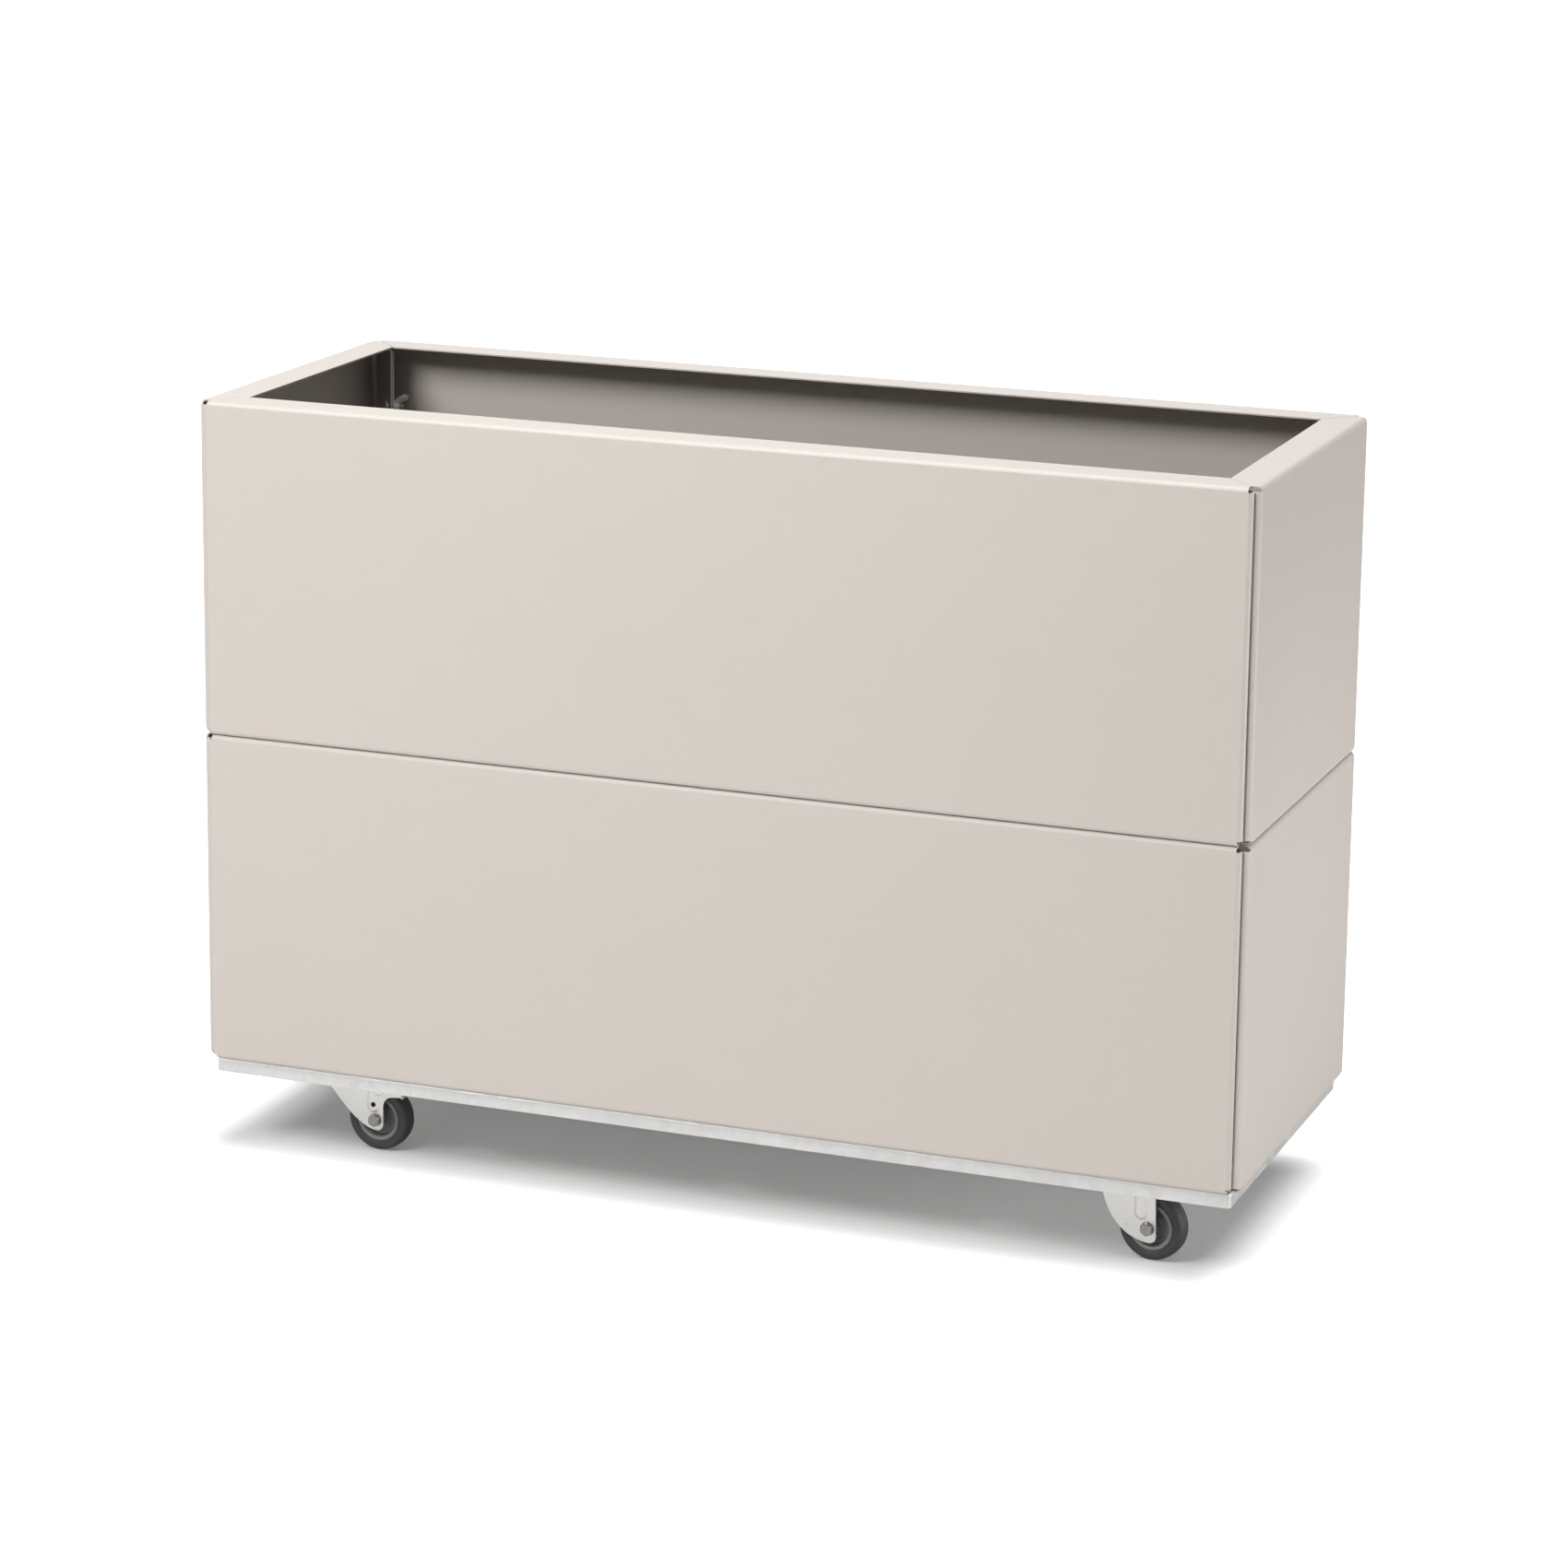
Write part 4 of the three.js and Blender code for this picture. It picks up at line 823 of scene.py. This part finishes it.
def braked_fork_edges():
    nose, low, right = -TRAIL - FORK_NOSE, -12 * MM, 10 * MM
    belly = (0.7 * nose, 0.25 * FORK_CROWN)
    front = bezier((0, low), (0.35 * nose, 0.8 * low), belly, (nose, 0.65 * FORK_CROWN))
    front.append((nose, FORK_CROWN))
    pin_x, pin_z = pedal_pin()
    reach, top, bottom = pin_x + 12 * MM, pin_z + 6 * MM, pin_z - 11.5 * MM
    hollow = 13 * MM
    rear = rounded([(0, low), (right, low, 8 * MM), (right, bottom - hollow)], closed=False, steps=10)
    rear += arc((right + hollow, bottom - hollow), hollow, 180, 92, 10)
    arm_end = [(reach - 1 * MM, bottom + 1 * MM), (reach, bottom + 3 * MM), (reach, top - 5 * MM)]
    rear += rounded(arm_end, closed=False)
    rear += arc((reach - 5 * MM, top - 5 * MM), 5 * MM, 0, 88, 6)
    rear += [(right + 4 * MM, top + 0.1 * MM), (right - 2 * MM, FORK_CROWN)]
    return front, rear


def pedal_pin():
    radius, angle = WHEEL_RADIUS + 9 * MM, math.radians(61.8)
    return radius * math.cos(angle), radius * math.sin(angle)


def smooth_step(value, low, high):
    t = min(max((value - low) / (high - low), 0), 1)
    return t * t * (3 - 2 * t)


def rib_height(x, z, middle):
    """Height of the swage in a fork's leg at a point from the axle."""
    half = 7.5 * MM
    bottom = RIB_ABOVE_AXLE + half
    from_middle = abs(x - middle) if z > bottom else math.hypot(x - middle, z - bottom)
    top = smooth_step(FORK_CROWN - z, 6 * MM, 10 * MM)
    return 0.9 * MM * (1 - smooth_step(from_middle, half - 1.6 * MM, half)) * top


def fork(braked):
    """Pressed fork: a U of sheet trimmed to its side outline, with a swage in each leg."""
    front, rear = braked_fork_edges() if braked else plain_fork_edges()
    rib_middle = -BRAKED_RIB_AHEAD if braked else -RIB_AHEAD
    lowest = front[0][1]
    steps = {lowest + i * 1.5 * MM for i in range(1, 48)} | {z for _, z in front + rear}
    levels = [lowest + 0.15 * MM]
    for z in sorted(steps):
        if 0.4 * MM < z - levels[-1] and z < FORK_CROWN - FORK_BEND - 0.2 * MM:
            levels.append(z)
    section = [(-FORK_OUTER, z) for z in levels]
    section += arc((-FORK_OUTER + FORK_BEND, FORK_CROWN - FORK_BEND), FORK_BEND, 180, 90, 8)
    section += [(-y, z) for y, z in reversed(section)]
    columns = 44
    rows = []
    for y, z in section:
        x0, x1 = value_at(front, z), value_at(rear, z)
        row = []
        for i in range(columns + 1):
            x = x0 + (x1 - x0) * i / columns
            bulge = rib_height(x, z, rib_middle) if abs(abs(y) - FORK_OUTER) < 1e-7 else 0
            row.append((TRAIL + x, y + math.copysign(bulge, y), WHEEL_RADIUS + z))
        rows.append(row)
    bm = bmesh.new()
    add_grid(bm, rows)
    bmesh.ops.dissolve_degenerate(bm, edges=bm.edges, dist=1e-7)
    bm.faces.ensure_lookup_table()
    for face in bm.faces:
        face.normal_update()
    if sum(face.normal.z * face.calc_area() for face in bm.faces) < 0:
        bmesh.ops.reverse_faces(bm, faces=bm.faces)
    obj = sheet_thickness(object_from(bm, "fork"), FORK_SHEET)
    if braked:
        middle = (TRAIL - BRAKED_RIB_AHEAD, WHEEL_RADIUS + EYE_ABOVE_AXLE)
        eye = prism("eye", arc(middle, 3 * MM, 0, 345, 23), (X, Z, -Y), -0.03, 0.03)
        modify(obj, "BOOLEAN", object=eye, operation="DIFFERENCE", solver="EXACT")
        settled(obj)
        bpy.data.objects.remove(eye)
    return soften(obj, 0.45 * MM, 55)


def fork_seat():
    seat = BEARING / 2 - 2 * MM
    under = FORK_TOP - FORK_SHEET
    corners = [(0, under), (seat - 2 * MM, under, 1 * MM), (seat, FORK_TOP - 0.4 * MM, 0.5 * MM),
               (seat - 0.4 * MM, FORK_TOP), (0, FORK_TOP)]
    return turned("fork_seat", rounded(corners, steps=4), 64)


def axle_bolt():
    """Axle along Y with a washer and a head at the front and a nut at the back."""
    seat = FORK_OUTER + FIT_GAP
    end = seat + 7.5 * MM
    across = AXLE + 5 * MM
    profile = [(0, -seat), (AXLE / 2, -seat), (AXLE / 2, seat)]
    profile += thread(AXLE / 2, seat + 0.1 * MM, seat + 7 * MM) + [(AXLE * 0.36, end), (0, end)]
    parts = [turned("shank", profile, 32)]
    for part, height in (
        (hex_nut("head", across, 4 * MM, 0), -seat - 5 * MM),
        (washer("head_washer", 7.6 * MM, AXLE / 2, 1 * MM), -seat - 1 * MM),
        (washer("nut_washer", 7.6 * MM, AXLE / 2, 1 * MM), seat),
        (hex_nut("nut", across, 5.5 * MM, AXLE / 2 * 0.9), seat + 1 * MM),
    ):
        parts.append(placed(part, Matrix.Translation((0, 0, height))))
    return on_axle(joined("axle_bolt", parts))


def on_axle(obj):
    """Turns a piece made along Z onto the wheel's axle."""
    return placed(obj, Matrix.Translation((TRAIL, 0, WHEEL_RADIUS)) @ Matrix.Rotation(-math.pi / 2, 4, "X"))


def mirrored(half):
    return half + [(r, -h, *rest) for r, h, *rest in reversed(half)]


def tyre():
    """Solid tyre: a low crown, round shoulders, and a bead line over the hub's rim."""
    half, bore = TYRE_WIDTH / 2, TYRE_BORE / 2
    r = WHEEL_RADIUS
    side = [(bore, 8.6 * MM), (bore, half - 1.6 * MM, 0.4 * MM),
            (bore + 1.6 * MM, half - 1.2 * MM, 0.6 * MM), (bore + 2.6 * MM, half - 0.2 * MM, 0.8 * MM),
            (r - 1 * MM, half, 4.4 * MM), (r, 3 * MM, 12 * MM)]
    return on_axle(turned("tyre", rounded(mirrored(side), steps=6), 96))


def hub():
    """Moulded hub: a thin web with a step between the ring under the tyre and the boss on the axle."""
    half = HUB_WIDTH / 2
    ring = HUB_RING_BORE / 2 - 0.05 * MM
    boss, boss_end = 9.5 * MM, FORK_INNER - FIT_GAP
    bore = AXLE / 2 + 0.2 * MM
    side = [(ring, half - 1 * MM), (ring - 1 * MM, half - 1 * MM, 0.4 * MM),
            (ring - 2.4 * MM, 4.2 * MM, 1 * MM), (16.4 * MM, 3.8 * MM, 0.6 * MM),
            (15.4 * MM, 3 * MM, 0.6 * MM), (boss, 3 * MM, 1.6 * MM),
            (boss - 1 * MM, boss_end - 0.4 * MM, 0.4 * MM), (boss - 1.4 * MM, boss_end), (bore, boss_end)]
    return on_axle(turned("hub", rounded(mirrored(side), steps=4), 72))


def hub_ring():
    """Ring that shows between the hub and the tyre, in a paler copy of the hub's nylon: painted light for
    the lit rim beside the web in shade.
    """
    outer, inner, half = TYRE_BORE / 2 - 0.15 * MM, HUB_RING_BORE / 2, HUB_WIDTH / 2
    side = [(outer, half + 1.4 * MM, 0.5 * MM), (inner, half + 0.6 * MM, 0.8 * MM)]
    return on_axle(turned("hub_ring", rounded(mirrored(side), steps=4), 96))


def brake_pedal():
    """Pedal with its shoe over the tread, its eye on the pin and a ribbed foot end."""
    pin_x, pin_z = pedal_pin()
    top, thick = pin_z + 5.5 * MM, 3 * MM
    under = top - thick
    end = pin_x + 38 * MM
    inner, shoe = WHEEL_RADIUS + SHOE_CLEARANCE, 4 * MM
    eye = 5 * MM
    outline = arc((0, 0), inner, 58, 40, 8) + arc((0, 0), inner + shoe, 40, 40, 1)[:1]
    throat = [(pin_x + 6 * MM, under - 5 * MM), (pin_x + 2 * eye, under, 3 * MM), (end - 6 * MM, under)]
    outline += rounded(throat, closed=False)[1:]
    outline += arc((end - 4 * MM, under - 2 * MM), 2 * MM, 90, 0, 4)[1:]
    outline += [(end - 2 * MM, under - 3 * MM), (end + 0.4 * MM, under - 3 * MM)]
    outline += arc((end - 5 * MM, under - 2.5 * MM), 5.4 * MM, 0, 90, 8) + [(pin_x, top)]
    outline += arc((pin_x, pin_z), eye, 110, 180, 6)
    lever = prism("lever", outline, (X, Z, -Y), -PEDAL_WIDTH / 2, PEDAL_WIDTH / 2)
    modify(lever, "BEVEL", width=0.7 * MM, segments=2, limit_method="ANGLE", angle_limit=math.radians(50))
    start, half, r = pin_x + 15 * MM, 15 * MM, 6 * MM
    right = end - 6 * MM - r
    plate = [(start, r - half), (start + r, -half)] + arc((right, r - half), r, -90, 0, 6)
    plate += arc((right, half - r), r, 0, 90, 6) + [(start + r, half), (start, half - r)]
    tread = prism("tread", plate, (X, Y, Z), under + 0.3 * MM, top - 0.3 * MM)
    modify(tread, "BEVEL", width=0.5 * MM, segments=2, limit_method="ANGLE", angle_limit=math.radians(50))
    ribs = []
    for x in (start + 3 * MM + i * 3.2 * MM for i in range(3)):
        sunk = top - 0.6 * MM
        ridge = [(x, sunk), (x + 1.6 * MM, sunk), (x + 1.2 * MM, top), (x + 0.4 * MM, top)]
        ribs.append(prism("rib", ridge, (X, Z, -Y), -half + 3 * MM, half - 3 * MM))
    parts = [placed(part, Matrix.Translation((TRAIL, 0, WHEEL_RADIUS))) for part in [lever, tread] + ribs]
    pin_end = FORK_OUTER + 1.5 * MM
    shape = [(0, -pin_end), (2.5 * MM, -pin_end, 0.5 * MM), (2.5 * MM, pin_end, 0.5 * MM), (0, pin_end)]
    pin = turned("pin", rounded(shape, steps=3), 32)
    at_pin = Matrix.Translation((TRAIL + pin_x, 0, WHEEL_RADIUS + pin_z))
    placed(pin, at_pin @ Matrix.Rotation(-math.pi / 2, 4, "X"))
    return joined("brake_pedal", parts + [pin])


def castors():
    plate_bolts = []
    for corner in CORNERS:
        swivel = joints[f"swivel_{corner}"]
        spin = joints[f"spin_{corner}"]
        x, y, _ = swivel["pos_m"]
        at_mount = Matrix.Translation((x, y, 0))
        swung = at_mount @ Matrix.Rotation(math.atan2(-spin["axis"][0], spin["axis"][1]), 4, "Z")
        braked = f"brake_{corner}" in joints
        for sx in (-1, 1):
            for sy in (-1, 1):
                bolt = Vector((x + sx * PLATE_BOLT_AT[0], y + sy * PLATE_BOLT_AT[1], PLATE_UNDER))
                plate_bolts.append((bolt, Z, X))
        turning, rolling = f"castor_{corner}", f"wheel_{corner}"
        made = [
            (castor_plate(), "mounting_plate", at_mount, "root", "zinc", bright_zinc, "castor_plate"),
            (swivel_race(), "swivel_race", swung, turning, "zinc", bright_zinc, "swivel_bearing"),
            (fork(braked), "pressed_fork", swung, turning, "zinc", bright_zinc, "fork"),
            (fork_seat(), "fork_seat", swung, turning, "zinc", bright_zinc, None),
            (axle_bolt(), "axle", swung, turning, "zinc", dark_zinc, "axle_bolt"),
            (hub(), "hub", swung, rolling, "plastic", hub_nylon, "wheel_hub"),
            (hub_ring(), "hub_ring", swung, rolling, "plastic", ring_nylon, None),
            (tyre(), "solid_tyre", swung, rolling, "rubber", tyre_rubber, "tyre"),
        ]
        if braked:
            pedal = f"pedal_{corner}"
            made.append((brake_pedal(), "foot_brake", swung, pedal, "zinc", dull_zinc, "brake_pedal"))
        for piece, name, matrix, body, slot_name, finish, node in made:
            nodes = [f"{node}_{corner}"] if node else []
            piece.name = f"{name}_{corner}"
            piece.data.name = piece.name
            for polygon in piece.data.polygons:
                polygon.use_smooth = True
            if not piece.modifiers:
                piece.data.set_sharp_from_angle(angle=SHARP_FROM)
            fit(placed(piece, matrix), body, slot_name, finish, *nodes)
    place_fasteners("castor_plate_bolts", plate_bolt(), plate_bolts, dull_zinc)


# ------------------------------------------------------------------ stage, light and camera
CAMERA_PLACE = Vector((1.8266, -4.8089, 1.7953))
CAMERA_AZIMUTH, CAMERA_ELEVATION, CAMERA_ROLL = (math.radians(a) for a in (20.758, 12.575, 0.681))
FOCAL_PIXELS = 5190.6  # focal length in pixels of the 1700 pixel frame
PHOTO_PIXELS = 1700
HORIZON_PIXELS = 646  # row of the frame that the camera's axis meets
SENSOR = 36.0


def photo_camera():
    data = bpy.data.cameras.new("photo_camera")
    data.sensor_width = SENSOR
    data.lens = FOCAL_PIXELS / PHOTO_PIXELS * SENSOR
    data.shift_y = -(PHOTO_PIXELS / 2 - HORIZON_PIXELS) / PHOTO_PIXELS
    camera = bpy.data.objects.new("photo_camera", data)
    a, e, roll = CAMERA_AZIMUTH, CAMERA_ELEVATION, CAMERA_ROLL
    look = Vector((-math.sin(a) * math.cos(e), math.cos(a) * math.cos(e), -math.sin(e)))
    level = Vector((math.cos(a), math.sin(a), 0))
    up = level.cross(look)
    right = level * math.cos(roll) + up * math.sin(roll)
    above = up * math.cos(roll) - level * math.sin(roll)
    turn = Matrix((right, above, -look)).transposed().to_4x4()
    camera.matrix_world = Matrix.Translation(CAMERA_PLACE) @ turn
    bpy.context.scene.collection.objects.link(camera)
    bpy.context.scene.camera = camera


def softbox(name, place, size, power, aim=(0, 0, 0.5)):
    data = bpy.data.lights.new(name, "AREA")
    data.shape = "RECTANGLE"
    data.size, data.size_y = size
    data.energy = power
    lamp = bpy.data.objects.new(name, data)
    lamp.location = place
    lamp.rotation_euler = (Vector(place) - Vector(aim)).to_track_quat("Z", "Y").to_euler()
    bpy.context.scene.collection.objects.link(lamp)


def white_to_the_eye(tree):
    """1 for the rays by which the background itself is seen."""
    path = tree.nodes.new("ShaderNodeLightPath")
    seen = math_node(tree, "MAXIMUM", path.outputs["Is Camera Ray"], path.outputs["Is Glossy Ray"])
    return math_node(tree, "MAXIMUM", seen, path.outputs["Is Transmission Ray"])


WORLD_STRENGTH = 0.1
FLOOR_LIFT = 0.12  # added to what the eye sees of the floor, which is white but for its shadow
# The floor is lifted to white outside a rectangle under the planter. The insets say how far inside
# the planter's sides the lift starts, and the fades over what way it grows.
SHADOW_INSET, SHADOW_FADE = 0.06, 0.11
END_SHADOW_INSET, END_SHADOW_FADE = 0.045, 0.09
END_SHADOW_SHIFT = 0.025  # to the left, where the key light comes from
FLOOR_SIZE = 9.0


def world():
    made = bpy.data.worlds.new("studio")
    made.use_nodes = True
    tree = made.node_tree
    background = tree.nodes["Background"]
    background.inputs["Color"].default_value = (1, 1, 1, 1)
    seen = white_to_the_eye(tree)
    strength = math_node(tree, "MULTIPLY_ADD", seen, 1 - WORLD_STRENGTH, WORLD_STRENGTH)
    tree.links.new(strength, background.inputs["Strength"])
    bpy.context.scene.world = made


def floor():
    bm = bmesh.new()
    bmesh.ops.create_circle(bm, cap_ends=True, segments=96, radius=FLOOR_SIZE)
    obj = object_from(bm, "floor")
    made = bpy.data.materials.new("pale_floor")
    made.use_nodes = True
    tree = made.node_tree
    shader = tree.nodes["Principled BSDF"]
    shader.inputs["Base Color"].default_value = (0.82, 0.815, 0.81, 1)
    shader.inputs["Roughness"].default_value = 0.9
    shader.inputs["Specular IOR Level"].default_value = 0.1
    emission = tree.nodes.new("ShaderNodeEmission")
    place = tree.nodes.new("ShaderNodeSeparateXYZ")
    tree.links.new(tree.nodes.new("ShaderNodeTexCoord").outputs["Object"], place.inputs[0])
    outside = []
    ends = (0, END_SHADOW_SHIFT, LENGTH / 2 - END_SHADOW_INSET, END_SHADOW_FADE)
    for axis, shift, full, fade in (ends, (1, 0, WIDTH / 2 - SHADOW_INSET, SHADOW_FADE)):
        across = math_node(tree, "ADD", place.outputs[axis], shift)
        past = math_node(tree, "SUBTRACT", math_node(tree, "ABSOLUTE", across), full)
        outside.append(math_node(tree, "MULTIPLY", math_node(tree, "MAXIMUM", past, 0), 1 / fade))
    square = math_node(tree, "MULTIPLY", outside[1], outside[1])
    squares = math_node(tree, "MULTIPLY_ADD", outside[0], outside[0], square)
    away = tree.nodes.new("ShaderNodeMapRange")
    away.interpolation_type = "SMOOTHSTEP"
    away.inputs["From Min"].default_value = 0
    away.inputs["From Max"].default_value = 1
    away.inputs["To Min"].default_value = FLOOR_LIFT
    away.inputs["To Max"].default_value = 1.0
    tree.links.new(math_node(tree, "SQRT", squares), away.inputs["Value"])
    seen = tree.nodes.new("ShaderNodeLightPath").outputs["Is Camera Ray"]
    tree.links.new(math_node(tree, "MULTIPLY", seen, away.outputs[0]), emission.inputs["Strength"])
    both = tree.nodes.new("ShaderNodeAddShader")
    tree.links.new(shader.outputs[0], both.inputs[0])
    tree.links.new(emission.outputs[0], both.inputs[1])
    tree.links.new(both.outputs[0], tree.nodes["Material Output"].inputs["Surface"])
    obj.data.materials.append(made)


def lights():
    softbox("key", (-1.6, -3.42, 4.08), (2.2, 2.2), 190)
    softbox("overhead", (0, 0, 4.2), (1.8, 1.2), 72)
    softbox("end_fill", (2.2, 0.1, 0.34), (1.2, 0.5), 15, aim=(0.6, 0, 0.34))
    softbox("front_fill", (-2.0, -4.5, 0.5), (1.6, 0.6), 20, aim=(0, 0, 0.4))


# ------------------------------------------------------------------ the planter
FASTENER_TREE, FASTENER_SOCKETS = fastener_tree()
photo_camera()
world()
floor()
lights()
panels()
collar_fasteners()
base_pan()
stiffeners()
castors()

bpy.context.scene.view_settings.view_transform = "Standard"
